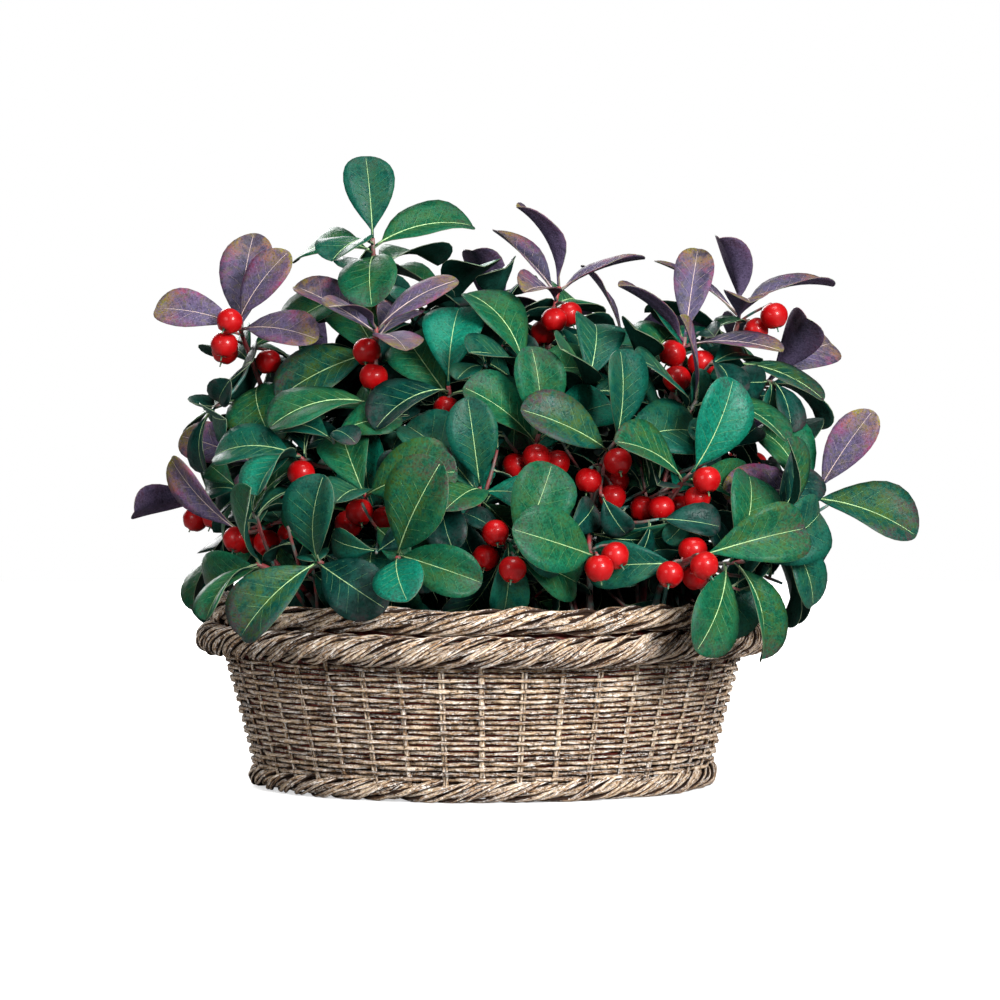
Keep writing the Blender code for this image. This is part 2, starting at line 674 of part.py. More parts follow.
def united(name, rods, leaves, berries, collection):
    """One solid of the twigs, leaves and berries: a Boolean union on a collection of them, then applied."""
    parts = bpy.data.collections.new(name + "_parts")
    bpy.context.scene.collection.children.link(parts)
    body = rods[0]
    for piece in rods[1:]:
        parts.objects.link(piece)
    for k, leaf in enumerate(leaves):
        shape = bmesh.new()
        leaf_shape(leaf, shape)
        object_from_bmesh(f"{name}_leaf_{k}", shape, "leaf", parts)
    for k, berry in enumerate(berries):
        shape = bmesh.new()
        bmesh.ops.create_icosphere(shape, subdivisions=1, radius=BERRY_RADIUS)
        bmesh.ops.translate(shape, verts=shape.verts, vec=berry.centre)
        object_from_bmesh(f"{name}_berry_{k}", shape, "leaf", parts)
        shape = bmesh.new()
        tube_between(shape, berry.root, berry.centre, [BERRY_STALK_RADIUS] * 2, TWIG_SIDES)
        object_from_bmesh(f"{name}_stalk_{k}", shape, "leaf", parts)
    join = body.modifiers.new("grow together", "BOOLEAN")
    join.operation = "UNION"
    join.operand_type = "COLLECTION"
    join.collection = parts
    join.solver = "EXACT"
    mesh_from_object(name, body, "leaf", collection)
    for piece in list(parts.objects):
        bpy.data.objects.remove(piece)
    bpy.data.collections.remove(parts)


Placed = namedtuple("Placed", "leaf whole blade owner")


def touches(tree, others):
    return any(tree.overlap(other) for other in others)


def dealt_berries(stem, paths, bars, foreign, fruit):
    """The stem's berries that touch nothing, each added to fruit as (stem name, own tree, lit tree)."""
    kept = []
    for number, shoot in enumerate(stem.shoots):
        for berry in shoot_berries(stem, number, shoot, paths[number]):
            own, lit = berry_tree(berry)
            if touches(own, bars) or touches(own, foreign) or touches(own, [other for _, other, _ in fruit]):
                continue
            kept.append(berry)
            fruit.append((stem.name, own, lit))
    return kept


def dealt_leaf(name, tries, bars, foreign, fruit, placed):
    """The first of the tries that touches nothing it may not, with the trees that later leaves must clear.
    Leaves of one stem may meet at their stalks, those of two stems nowhere."""
    for leaf in tries:
        whole = leaf_tree(leaf, LEAF_CLEARANCE)
        if touches(whole, bars) or touches(whole, foreign):
            continue
        if touches(whole, [own for owner, own, _ in fruit if owner != name]):
            continue
        blade = leaf_tree(leaf, LEAF_CLEARANCE, first=1)
        if touches(blade, [lit for _, _, lit in fruit]):
            continue
        near = [spot for spot in placed if (spot.leaf.root - leaf.root).length < NEIGHBOUR_REACH]
        if touches(blade, [spot.blade for spot in near if spot.owner == name]):
            continue
        if touches(whole, [spot.whole for spot in near if spot.owner != name]):
            continue
        return Placed(leaf, whole, blade, name)
    return None


def plant(lining, helpers, collection):
    """Grows every stem, then deals out berries and leaves so that no two pieces touch."""
    paths, twigs, stem_trees, twig_trees = {}, {}, {}, {}
    for stem in STEMS:
        main, side = grown_stem(stem)
        solid = stem_solid(stem, main, helpers, collection)
        paths[stem.name] = twig_paths(main, side)
        twigs[stem.name] = twig_rods(stem, paths[stem.name], helpers, collection)
        bpy.context.view_layer.update()
        stem_trees[stem.name] = tree_of(solid)
        twig_trees[stem.name] = [tree_of(twig) for twig in twigs[stem.name]]
    bars = [guard_ring(rope) for rope in (OUTER_BORDER, UPPER_BORDER)]
    bars += [guard_soil(), tree_of(lining), *stem_trees.values()]
    foreign = {
        stem.name: [tree for name, trees in twig_trees.items() if name != stem.name for tree in trees]
        for stem in STEMS
    }
    fruit = []
    berries = {
        stem.name: dealt_berries(stem, paths[stem.name], bars, foreign[stem.name], fruit) for stem in STEMS
    }
    offers = [
        (rank, stem.name, tries)
        for stem in STEMS
        for number, shoot in enumerate(stem.shoots)
        for rank, tries in enumerate(shoot_leaves(stem, number, shoot, paths[stem.name][number]))
    ]
    placed = []
    for _, name, tries in sorted(offers, key=lambda offer: offer[0]):
        spot = dealt_leaf(name, tries, bars, foreign[name], fruit, placed)
        if spot:
            placed.append(spot)
    for stem in STEMS:
        leaves = [spot.leaf for spot in placed if spot.owner == stem.name]
        united("leaves_" + stem.name, twigs[stem.name], leaves, berries[stem.name], collection)


def centre_on_outline(collection):
    """Moves the part so that the middle of its outline, seen from above, is over the origin."""
    bpy.context.view_layer.update()
    graph = bpy.context.evaluated_depsgraph_get()
    corners = [
        piece.matrix_world @ Vector(corner)
        for piece in collection.objects
        for corner in piece.evaluated_get(graph).bound_box
    ]
    middle = [
        (min(c[axis] for c in corners) + max(c[axis] for c in corners)) / 2 for axis in (0, 1)
    ]
    for thing in bpy.data.objects:
        thing.location.x -= middle[0]
        thing.location.y -= middle[1]


def main():
    clear_scene()
    part = new_collection("potted_gaultheria")
    helpers = new_collection("helpers")
    foot = rope_border(FOOT_BORDER, helpers, part)
    cut_flat_under(foot, helpers)
    rope_border(OUTER_BORDER, helpers, part)
    rope_border(UPPER_BORDER, helpers, part)
    side_wall(part)
    base_board(part)
    lining = liner(part)
    soil(part)
    plant(lining, helpers, part)
    centre_on_outline(part)


main()
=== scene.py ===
"""A gaultheria in a round willow basket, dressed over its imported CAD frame.

The basket gets its real weave: stakes, over-and-under weavers, and borders of twisted rods. The plant
grows again by the rule of its solids, carried to finer twigs, with veined leaves and red berries.
Everything is in metres, +Z up. Shapes are worked out about the basket's own axis and then moved onto it.
"""

import functools
import math
import random
from collections import namedtuple

import bmesh
import bpy
import numpy as np
from bpy.props import FloatProperty, FloatVectorProperty, IntProperty, PointerProperty
from mathutils import Matrix, Vector
from mathutils.bvhtree import BVHTree


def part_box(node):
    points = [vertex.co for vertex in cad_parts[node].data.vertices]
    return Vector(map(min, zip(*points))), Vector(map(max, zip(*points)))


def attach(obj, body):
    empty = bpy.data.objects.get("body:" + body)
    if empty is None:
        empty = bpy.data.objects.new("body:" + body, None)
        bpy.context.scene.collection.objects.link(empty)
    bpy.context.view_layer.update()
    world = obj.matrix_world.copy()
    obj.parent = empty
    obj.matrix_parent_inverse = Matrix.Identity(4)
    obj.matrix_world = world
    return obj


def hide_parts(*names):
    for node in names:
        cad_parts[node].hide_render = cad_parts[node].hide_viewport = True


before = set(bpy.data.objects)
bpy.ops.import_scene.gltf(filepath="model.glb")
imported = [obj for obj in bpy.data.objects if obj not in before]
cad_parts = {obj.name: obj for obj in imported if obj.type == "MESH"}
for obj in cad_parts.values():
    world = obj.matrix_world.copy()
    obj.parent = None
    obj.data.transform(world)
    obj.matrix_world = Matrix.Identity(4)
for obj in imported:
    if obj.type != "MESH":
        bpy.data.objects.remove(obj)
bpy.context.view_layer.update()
WALL_LOW, WALL_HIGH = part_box("side_wall")
AXIS = np.array([(WALL_LOW[0] + WALL_HIGH[0]) / 2, (WALL_LOW[1] + WALL_HIGH[1]) / 2, 0.0])
TAU = math.tau

bl_info = {
    "name": "Potted gaultheria",
    "version": (1, 0, 0),
    "blender": (4, 5, 0),
    "location": "View3D > Sidebar > Gaultheria",
    "description": "Weaves the basket and grows the leaves and berries of a potted gaultheria",
    "category": "Object",
}

FIT_GAP = 0.0003
RING_STEPS = 96
ASIDE = (0.13, 0.97, 0.21)  # a direction that no stem or stalk runs along

# The basket's fixed rings, as in the solids.
STAKES = 40
WALL_FOOT = 0.0105
WALL_FOOT_RADIUS = 0.0976
WALL_FLARE = 0.262
WALL_TOP = 0.0554
WEAVE_DEPTH = 0.0024  # the stakes' middle lies this far inside the weave's outermost reach
COLLAR_RADIUS = 0.1048
LINER_TOP = 0.0752
SOIL_TOP = 0.0640
SOIL_FLOOR = 0.0156
BASE_HEIGHT = 0.0123

# The basket's finer sizes.
ROPE_STEPS = 26  # corners along a border's rod for each turn of the rope
STRAND_ARC = 0.80  # how much of a strand's share of the rope its rods take up
CORE_SHARE = 0.52  # a border's core, as a share of the border's own thickness
FLOOR_CLEARANCE = 1.16  # a rod's middle lies at least this many of its radii above the floor
STAKE_FOOT = 0.0030
BASE_SPOKES = 16
BASE_PITCH = 0.0023
BASE_ROD_RADIUS = 0.00098
BINDER_RADIUS = 0.0011
SPOKE_RADIUS = 0.0006
SPOKE_FLATNESS = 2.4
LINER_FLOOR = 0.0142
LINER_THICKNESS = 0.0008
LINER_INSET = 0.0050  # from the weave's outermost reach to the liner
SOIL_INSETS = (0.0066, 0.0064)  # from the weave's outermost reach to the compost, at its top and at its floor
CRUMBS = 900
CRUMB_SIZES = (0.0005, 0.0016)

# Each strand has its rods side by side, whose outer ones drop back by bulge; loose is how far the rods stray.
Rope = namedtuple("Rope", "name radius height thickness strands turns rods rod_radius bulge loose")
FOOT_BORDER = Rope("foot_border", 0.0933, 0.0049, 0.0052, 4, 10, 4, 0.00084, 0.0019, 0.10)
OUTER_BORDER = Rope("outer_border", 0.1133, 0.0623, 0.0067, 5, 12, 5, 0.00076, 0.0022, 0.08)
UPPER_BORDER = Rope("upper_border", 0.1108, 0.0742, 0.0056, 4, 9, 4, 0.00100, 0.0021, 0.12)


def colour_setting(name, description, value):
    """A colour that the panel offers."""
    return FloatVectorProperty(
        name=name, description=description, default=value, subtype="COLOR", size=3, min=0, max=1
    )


def length_setting(name, description, value):
    """A length in metres that the panel offers."""
    return FloatProperty(name=name, description=description, default=value, min=0, unit="LENGTH", precision=5)


class BasketSettings(bpy.types.PropertyGroup):
    """Sizes and colours of the willow basket, its liner and its compost."""

    rows: IntProperty(name="Rows", description="Weavers, one above the other", default=22, min=3)
    row_pitch: length_setting("Row pitch", "Height from one weaver to the next", 0.00214)
    weaver_radius: length_setting("Weaver radius", "Half the thickness of a weaver", 0.00088)
    weaver_swing: length_setting("Weaver swing", "How far a weaver swings out and in at the stakes", 0.00135)
    stake_width: length_setting("Stake width", "Width of one upright stake", 0.0026)
    # The worn and grimy colours also carry painted light: each rod's outer side leans to the worn colour, a
    # painted highlight, and its inner side and the crevices to the grimy one, painted shade.
    willow_pale: colour_setting("Willow, worn", "Bleached fibres", (0.72, 0.55, 0.37))
    willow: colour_setting("Willow", "Most of the bark", (0.250, 0.136, 0.062))
    willow_dark: colour_setting("Willow, grimy", "Crevices and stained bark", (0.022, 0.009, 0.004))
    flake: colour_setting("Willow, flakes", "Flakes of bark gone white", (0.90, 0.85, 0.79))
    liner: colour_setting("Liner", "The lining behind the weave", (0.26, 0.030, 0.018))
    compost: colour_setting("Compost", "The compost's surface", (0.030, 0.019, 0.012))


class PlantSettings(bpy.types.PropertyGroup):
    """Sizes and colours of the stems, leaves and berries."""

    leaf_length: length_setting("Leaf length", "A full-grown leaf from its root to its tip", 0.044)
    leaf_thickness: length_setting("Leaf thickness", "Thickness of a blade", 0.0004)
    berry_radius: length_setting("Berry radius", "Half the width of a ripe berry", 0.0058)
    deep: colour_setting("Leaf, deep", "Deep blue-green leaves", (0.0014, 0.055, 0.039))
    # teal is partly painted light: a brighter copy of the deep blue-green, dealt to some leaves for the teal
    # sheen of lit leaves
    teal: colour_setting("Leaf, teal", "The brightest blue-green leaves", (0.0024, 0.132, 0.084))
    dark: colour_setting("Leaf, dark", "Shaded and old leaves", (0.0008, 0.024, 0.019))
    green: colour_setting("Leaf, green", "Full green leaves", (0.003, 0.080, 0.036))
    # olive lies beside the midrib, and on one half of some blades as painted light that sets the fold's
    # halves apart
    olive: colour_setting("Leaf, olive", "The olive that comes in beside the midrib", (0.034, 0.068, 0.008))
    bronze: colour_setting("Leaf, bronze", "The bronze of older leaves", (0.046, 0.024, 0.030))
    plum: colour_setting("Leaf, plum", "Young leaves", (0.056, 0.052, 0.092))
    mauve: colour_setting("Leaf, mauve", "Brighter young leaves", (0.088, 0.066, 0.126))
    pink: colour_setting("Leaf, pink", "The flush along a young leaf's edge", (0.210, 0.028, 0.076))
    dun: colour_setting("Leaf, dun", "The dull olive patches of young leaves", (0.090, 0.076, 0.052))
    tip: colour_setting("Leaf, tip", "The olive tip of a young leaf", (0.160, 0.140, 0.014))
    under: colour_setting("Leaf, underside", "The dull underside", (0.005, 0.036, 0.026))
    vein: colour_setting("Veins", "Midrib of green leaves", (0.380, 0.580, 0.260))
    vein_side: colour_setting("Veins, side", "Side veins of green leaves", (0.080, 0.210, 0.070))
    vein_young: colour_setting("Veins, young", "Midrib and veins of young leaves", (0.560, 0.430, 0.400))
    # the pale edge is partly the margin's own colour and partly a painted highlight along the blade's edge
    margin: colour_setting("Leaf edge", "The thin pale edge", (0.150, 0.200, 0.110))
    margin_young: colour_setting("Leaf edge, young", "The pink edge of young leaves", (0.135, 0.034, 0.058))
    bark: colour_setting("Stem", "Blue-green stems", (0.030, 0.120, 0.100))
    bark_red: colour_setting("Stem, red", "Stems near the crowns", (0.260, 0.022, 0.026))
    berry: colour_setting("Berry", "A ripe berry", (0.320, 0.0010, 0.0020))
    # the pale specks are painted highlights: small glints painted on the skin
    berry_speck: colour_setting("Berry, specks", "Pale specks on its skin", (0.75, 0.30, 0.20))
    calyx: colour_setting("Berry style", "The dried style at the berry's end", (0.120, 0.180, 0.075))


class StageSettings(bpy.types.PropertyGroup):
    """The floor, the light and the photograph's viewpoint."""

    distance: length_setting("Distance", "From the camera to the point it looks at", 2.372)
    elevation: FloatProperty(
        name="Elevation",
        description="How far the camera looks down",
        default=math.radians(2.08),
        unit="ROTATION",
    )
    lens: FloatProperty(name="Lens", description="Focal length", default=203.3, min=1, unit="CAMERA")
    aim_x: FloatProperty(
        name="Aim, sideways", description="Right of the basket's axis", default=0.0072, unit="LENGTH"
    )
    aim_z: FloatProperty(name="Aim, height", description="Above the floor", default=0.1193, unit="LENGTH")
    floor: colour_setting("Floor", "The pale floor", (0.93, 0.93, 0.93))


def basket_settings():
    """The basket's settings, as the panel has them."""
    return bpy.context.scene.gaultheria_basket


def plant_settings():
    """The plant's settings, as the panel has them."""
    return bpy.context.scene.gaultheria_plant


# Meshes from arrays


def unit(vectors):
    """Each vector divided by its own length."""
    return vectors / np.maximum(np.linalg.norm(vectors, axis=-1, keepdims=True), 1e-12)


def surface(name, corners, faces, finishes, shades=None, marks=None, flat=None, weld=1e-7):
    """A mesh object from corners (n, 3), about the basket's axis, and faces (m, 3 or 4). shades gives each
    face the number of its finish, flat says which faces keep their edges, and marks holds one value or vector
    a corner under each name. Corners that coincide are welded, which turns a pole's quads into triangles."""
    mesh = bpy.data.meshes.new(name)
    mesh.vertices.add(len(corners))
    mesh.vertices.foreach_set("co", (corners + AXIS).astype(np.float32).ravel())
    mesh.loops.add(faces.size)
    mesh.loops.foreach_set("vertex_index", faces.astype(np.int32).ravel())
    mesh.polygons.add(len(faces))
    mesh.polygons.foreach_set("loop_start", np.arange(0, faces.size, faces.shape[1], dtype=np.int32))
    smooth = np.ones(len(faces), bool) if flat is None else ~flat
    mesh.polygons.foreach_set("use_smooth", smooth)
    for finish in finishes:
        mesh.materials.append(finish)
    if shades is not None:
        mesh.polygons.foreach_set("material_index", shades.astype(np.int32))
    mesh.update(calc_edges=True)
    for mark, values in (marks or {}).items():
        kind, field = ("FLOAT", "value") if values.ndim == 1 else ("FLOAT_VECTOR", "vector")
        made = mesh.attributes.new(mark, kind, "POINT")
        made.data.foreach_set(field, values.astype(np.float32).ravel())
    shape = bmesh.new()
    shape.from_mesh(mesh)
    bmesh.ops.remove_doubles(shape, verts=shape.verts, dist=weld)
    shape.to_mesh(mesh)
    shape.free()
    piece = bpy.data.objects.new(name, mesh)
    bpy.context.scene.collection.objects.link(piece)
    return piece


def dress(piece, slot, *nodes):
    """The piece rides on the part's one body and stands for the CAD nodes; slot is not used."""
    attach(piece, "root")
    if nodes:
        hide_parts(*nodes)
    return piece


def tube_faces(count, steps, sides, closed):
    """Quads that join ring to ring along each of count tubes of that many steps and sides."""
    rods, ring, side = np.meshgrid(
        np.arange(count), np.arange(steps if closed else steps - 1), np.arange(sides), indexing="ij"
    )
    after, beside = (ring + 1) % steps, (side + 1) % sides
    place = lambda r, s, k: (r * steps + s) * sides + k
    around = ((ring, side), (ring, beside), (after, beside), (after, side))
    return np.stack([place(rods, *corner) for corner in around], -1).reshape(-1, 4)


def tubes(paths, radii, outward, sides, closed=False, flat=1.0, seeds=None):
    """Rods along paths (rods, steps, 3): round each point lie p + r (N cos a + flat B sin a), where T is the
    path's direction, N is outward made square to T, and B = T x N. An open rod is closed by a point at each
    end. Returns corners, faces and marks: grain (along, around, rod) and depth, 0 on the outer side and 1
    within, from which the willow's finish paints a highlight on the outer side and shade within."""
    if not closed:
        paths = np.concatenate([paths[:, :1], paths, paths[:, -1:]], 1)
        outward = np.concatenate([outward[:, :1], outward, outward[:, -1:]], 1)
        radii = np.concatenate([radii[:, :1] * 0, radii, radii[:, -1:] * 0], 1)
    count, steps = paths.shape[:2]
    if closed:
        ahead = np.roll(paths, -1, 1) - np.roll(paths, 1, 1)
        stride = np.linalg.norm(np.roll(paths, -1, 1) - paths, axis=-1)
    else:
        ahead = np.gradient(paths, axis=1)
        stride = np.linalg.norm(np.diff(paths, axis=1, append=paths[:, -1:]), axis=-1)
    ahead = unit(ahead)
    normal = unit(outward - ahead * (outward * ahead).sum(-1, keepdims=True))
    beside = np.cross(ahead, normal)
    angle = TAU * np.arange(sides) / sides
    spoke = normal[:, :, None] * np.cos(angle)[:, None] + flat * beside[:, :, None] * np.sin(angle)[:, None]
    corners = paths[:, :, None] + radii[..., None, None] * spoke
    along = np.cumsum(stride, 1)[..., None] + 0 * angle
    seed = np.arange(count, dtype=float) if seeds is None else seeds
    grain = np.stack([along, 0 * along + angle / TAU, 0 * along + seed[:, None, None]], -1)
    depth = 0 * along + (1 - np.cos(angle)) / 2
    marks = {"grain": grain.reshape(-1, 3), "depth": depth.ravel()}
    return corners.reshape(-1, 3), tube_faces(count, steps, sides, closed), marks


def joined(parts):
    """Several (corners, faces, marks) as one."""
    starts = np.cumsum([0] + [len(corners) for corners, _, _ in parts[:-1]])
    corners = np.concatenate([part[0] for part in parts])
    faces = np.concatenate([part[1] + start for part, start in zip(parts, starts)])
    marks = {key: np.concatenate([part[2][key] for part in parts]) for key in parts[0][2]}
    return corners, faces, marks


def wobble(rng, count, steps, waves):
    """count smooth random curves round a closed ring, about -1 to 1: each is a sum of six sines, with whole
    numbers of waves between the two given."""
    turn = np.linspace(0, TAU, steps, endpoint=False)
    number = rng.integers(*waves, (count, 6))[..., None]
    phase = rng.uniform(0, TAU, (count, 6))[..., None]
    size = rng.uniform(0.2, 0.6, (count, 6))[..., None]
    return (size * np.sin(number * turn + phase)).sum(1)


def ring_path(angle, radius, height):
    """Points at this angle about the basket's axis, at radius and height."""
    angle, radius, height = np.broadcast_arrays(angle, radius, height)
    return np.stack([radius * np.cos(angle), radius * np.sin(angle), height], -1)


def wall_radius(height):
    """Outermost reach of the weave at this height."""
    return WALL_FOOT_RADIUS + WALL_FLARE * (height - WALL_FOOT)


# Finishes

FIBRE_STRETCH = (75, 5.0, 3.7)  # grain units: metres along a rod, turns round it, and the rod's number
HAIR_STRETCH = (400, 16, 9.1)
CHIP_STRETCH = (190, 8.0, 5.3)
CELL_WARP = 0.0012
VEIN_LADDER = 8.5  # side veins along one leaf, if they ran from its root to its tip
SHADE_SHARE = 0.35  # a leaf's darker patches and the painted shade in its vein furrows, as a share of its colour
LIGHT_SHARE = 1.5


def fill_inputs(tree, node, inputs):
    """Gives each named input of a node its value or its link."""
    for name, value in dict(inputs).items():
        if isinstance(value, bpy.types.NodeSocket):
            tree.links.new(value, node.inputs[name])
        else:
            node.inputs[name].default_value = value
    return node


def wired(tree, kind, inputs=(), **settings):
    """Adds a shader node with its settings and inputs."""
    node = tree.nodes.new(kind)
    for key, value in settings.items():
        setattr(node, key, value)
    return fill_inputs(tree, node, inputs)


def rgba(colour):
    """The colour with full cover."""
    return (*colour, 1.0)


def mixed_colour(tree, share, first, second):
    """The two colours mixed by share: inputs 6 and 7 and output 2 are the colour ones of a Mix node."""
    inputs = {0: share, 6: first, 7: second}
    return wired(tree, "ShaderNodeMix", inputs, data_type="RGBA").outputs[2]


def painted(tree, shade, share, colour):
    """shade with a plain colour laid over it by share."""
    return mixed_colour(tree, share, shade, rgba(colour))


def sum_of(tree, operation, first, second=0.0, clamp=False):
    """One Math node's value."""
    inputs = {0: first, 1: second}
    return wired(tree, "ShaderNodeMath", inputs, operation=operation, use_clamp=clamp).outputs[0]


def spread(tree, value, low, high, to_low=0.0, to_high=1.0):
    """value carried from the range low..high to another range, and held inside it."""
    inputs = {"Value": value, "From Min": low, "From Max": high, "To Min": to_low, "To Max": to_high}
    return wired(tree, "ShaderNodeMapRange", inputs, clamp=True).outputs["Result"]


def noise(tree, place, scale, detail=2.0, roughness=0.5):
    """Cloudy noise at place: its first output is a value about 0.5, its second a colour."""
    inputs = {"Vector": place, "Scale": scale, "Detail": detail, "Roughness": roughness}
    return wired(tree, "ShaderNodeTexNoise", inputs).outputs


def stretched_noise(tree, place, stretch, detail, roughness):
    """Noise at place times stretch, so that it is drawn out where stretch is small."""
    drawn_out = wired(tree, "ShaderNodeVectorMath", {0: place, 1: stretch}, operation="MULTIPLY").outputs[0]
    return noise(tree, drawn_out, 1.0, detail, roughness)[0]


def number_tone(tree, number):
    """A random value from 0 to 1 for each whole number."""
    return wired(tree, "ShaderNodeTexWhiteNoise", {"W": number}, noise_dimensions="1D").outputs["Value"]


def shared_effect(name, takes, gives, build):
    """A shader node group, made once. takes holds (name, kind, default) of its inputs, gives its outputs."""
    found = bpy.data.node_groups.get(name)
    if found:
        return found
    tree = bpy.data.node_groups.new(name, "ShaderNodeTree")
    for label, kind, value in takes:
        tree.interface.new_socket(label, in_out="INPUT", socket_type=kind).default_value = value
    for label in gives:
        tree.interface.new_socket(label, in_out="OUTPUT", socket_type="NodeSocketFloat")
    start, end = tree.nodes.new("NodeGroupInput"), tree.nodes.new("NodeGroupOutput")
    build(tree, start.outputs, end.inputs)
    return tree


def effect(tree, group, **inputs):
    """Adds a shared effect to a material and returns its outputs."""
    return fill_inputs(tree, wired(tree, "ShaderNodeGroup", node_tree=group), inputs).outputs


def rod_grain():
    """Fibres that run along a rod: noise drawn out along its grain, with finer hairs, and larger chips."""

    def build(tree, takes, gives):
        fibres = stretched_noise(tree, takes["Grain"], FIBRE_STRETCH, 5.0, 0.7)
        hairs = stretched_noise(tree, takes["Grain"], HAIR_STRETCH, 3.0, 0.6)
        chips = stretched_noise(tree, takes["Grain"], CHIP_STRETCH, 4.0, 0.65)
        coarse, fine = sum_of(tree, "MULTIPLY", fibres, 0.65), sum_of(tree, "MULTIPLY", hairs, 0.35)
        tree.links.new(sum_of(tree, "ADD", coarse, fine), gives["Streak"])
        tree.links.new(hairs, gives["Hairs"])
        tree.links.new(chips, gives["Chips"])

    takes = [("Grain", "NodeSocketVector", (0, 0, 0))]
    return shared_effect("Rod grain", takes, ["Streak", "Hairs", "Chips"], build)


def blotches():
    """Patches and specks on Object coordinates, with no place of their own."""

    def build(tree, takes, gives):
        place = wired(tree, "ShaderNodeTexCoord").outputs["Object"]
        tree.links.new(noise(tree, place, takes["Patches"], 4.0, 0.6)[0], gives["Patch"])
        tree.links.new(noise(tree, place, takes["Specks"], 2.0, 0.6)[0], gives["Speck"])

    takes = [("Patches", "NodeSocketFloat", 90.0), ("Specks", "NodeSocketFloat", 900.0)]
    return shared_effect("Blotches", takes, ["Patch", "Speck"], build)


def leaf_cells():
    """The fine net between a leaf's veins: rounded cells on Object coordinates."""

    def build(tree, takes, gives):
        place = wired(tree, "ShaderNodeTexCoord").outputs["Object"]
        inputs = {0: noise(tree, place, 300.0, 1.0)[1], 1: (CELL_WARP,) * 3, 2: place}
        bent = wired(tree, "ShaderNodeVectorMath", inputs, operation="MULTIPLY_ADD").outputs[0]
        inputs = {"Vector": bent, "Scale": takes["Cells"]}
        cells = wired(tree, "ShaderNodeTexVoronoi", inputs, feature="DISTANCE_TO_EDGE")
        tree.links.new(spread(tree, cells.outputs["Distance"], 0.0, 0.16), gives["Net"])

    return shared_effect("Leaf cells", [("Cells", "NodeSocketFloat", 620.0)], ["Net"], build)


def leaf_pattern():
    """What a leaf's own coordinates give. Blade holds u along, v across from -1 to 1, and the leaf's number.
    Crease is 1 on the side veins' furrows, where u - 0.215 |v|^0.8 comes to a rung of the ladder; the finish
    paints shade there. Middle is 1 near the midrib, and 0.75 on one half of the blade, a painted light that
    sets the fold's two halves apart. Outer rises past u + 0.45 |v| and Tip at the end."""

    def build(tree, takes, gives):
        blade = wired(tree, "ShaderNodeSeparateXYZ", {"Vector": takes["Blade"]}).outputs
        off = sum_of(tree, "ABSOLUTE", blade["Y"])
        swept = sum_of(tree, "MULTIPLY", sum_of(tree, "POWER", off, 0.8), 0.215)
        shift = spread(tree, noise(tree, takes["Blade"], 3.5, 3.0)[0], 0.25, 0.75, -0.09, -0.23)
        along = sum_of(tree, "ADD", sum_of(tree, "SUBTRACT", blade["X"], swept), shift)
        ladder = sum_of(tree, "ADD", sum_of(tree, "MULTIPLY", along, VEIN_LADDER), 40.0)
        line = spread(tree, sum_of(tree, "PINGPONG", ladder, 0.5), 0.01, 0.08, 1.0, 0.0)
        line = sum_of(tree, "MULTIPLY", line, spread(tree, noise(tree, takes["Blade"], 11.0)[0], 0.45, 0.58))
        line = sum_of(tree, "MULTIPLY", line, spread(tree, off, 0.78, 0.95, 1.0, 0.0))
        tree.links.new(line, gives["Crease"])
        # painted light: one half of each blade, picked by the leaf's number, takes the middle tint, as the
        # fold's two halves catch the light differently
        chosen = sum_of(tree, "SIGN", sum_of(tree, "SUBTRACT", number_tone(tree, blade["Z"]), 0.5))
        half = spread(tree, sum_of(tree, "MULTIPLY", blade["Y"], chosen), -0.02, 0.06, 0.0, 0.75)
        beside = spread(tree, off, 0.03, 0.75, 1.0, 0.0)
        tree.links.new(sum_of(tree, "MAXIMUM", half, beside), gives["Middle"])
        outer = sum_of(tree, "ADD", blade["X"], sum_of(tree, "MULTIPLY", off, 0.45))
        tree.links.new(spread(tree, outer, 0.72, 1.22), gives["Outer"])
        tree.links.new(spread(tree, blade["X"], 0.68, 0.98), gives["Tip"])

    takes = [("Blade", "NodeSocketVector", (0, 0, 0))]
    return shared_effect("Leaf pattern", takes, ["Crease", "Middle", "Outer", "Tip"], build)


def new_finish(name, roughness, **constants):
    """A material with its Principled shader's constants set; returns it with its tree and shader."""
    made = bpy.data.materials.new(name)
    made.use_nodes = True
    shader = made.node_tree.nodes["Principled BSDF"]
    shader.inputs["Roughness"].default_value = roughness
    for key, value in constants.items():
        shader.inputs[key.replace("_", " ")].default_value = value
    return made, made.node_tree, shader


def bumped(tree, shader, height, strength, distance):
    """Gives the shader a relief of this height, in metres."""
    bump = wired(tree, "ShaderNodeBump", {"Height": height, "Strength": strength, "Distance": distance})
    tree.links.new(bump.outputs["Normal"], shader.inputs["Normal"])


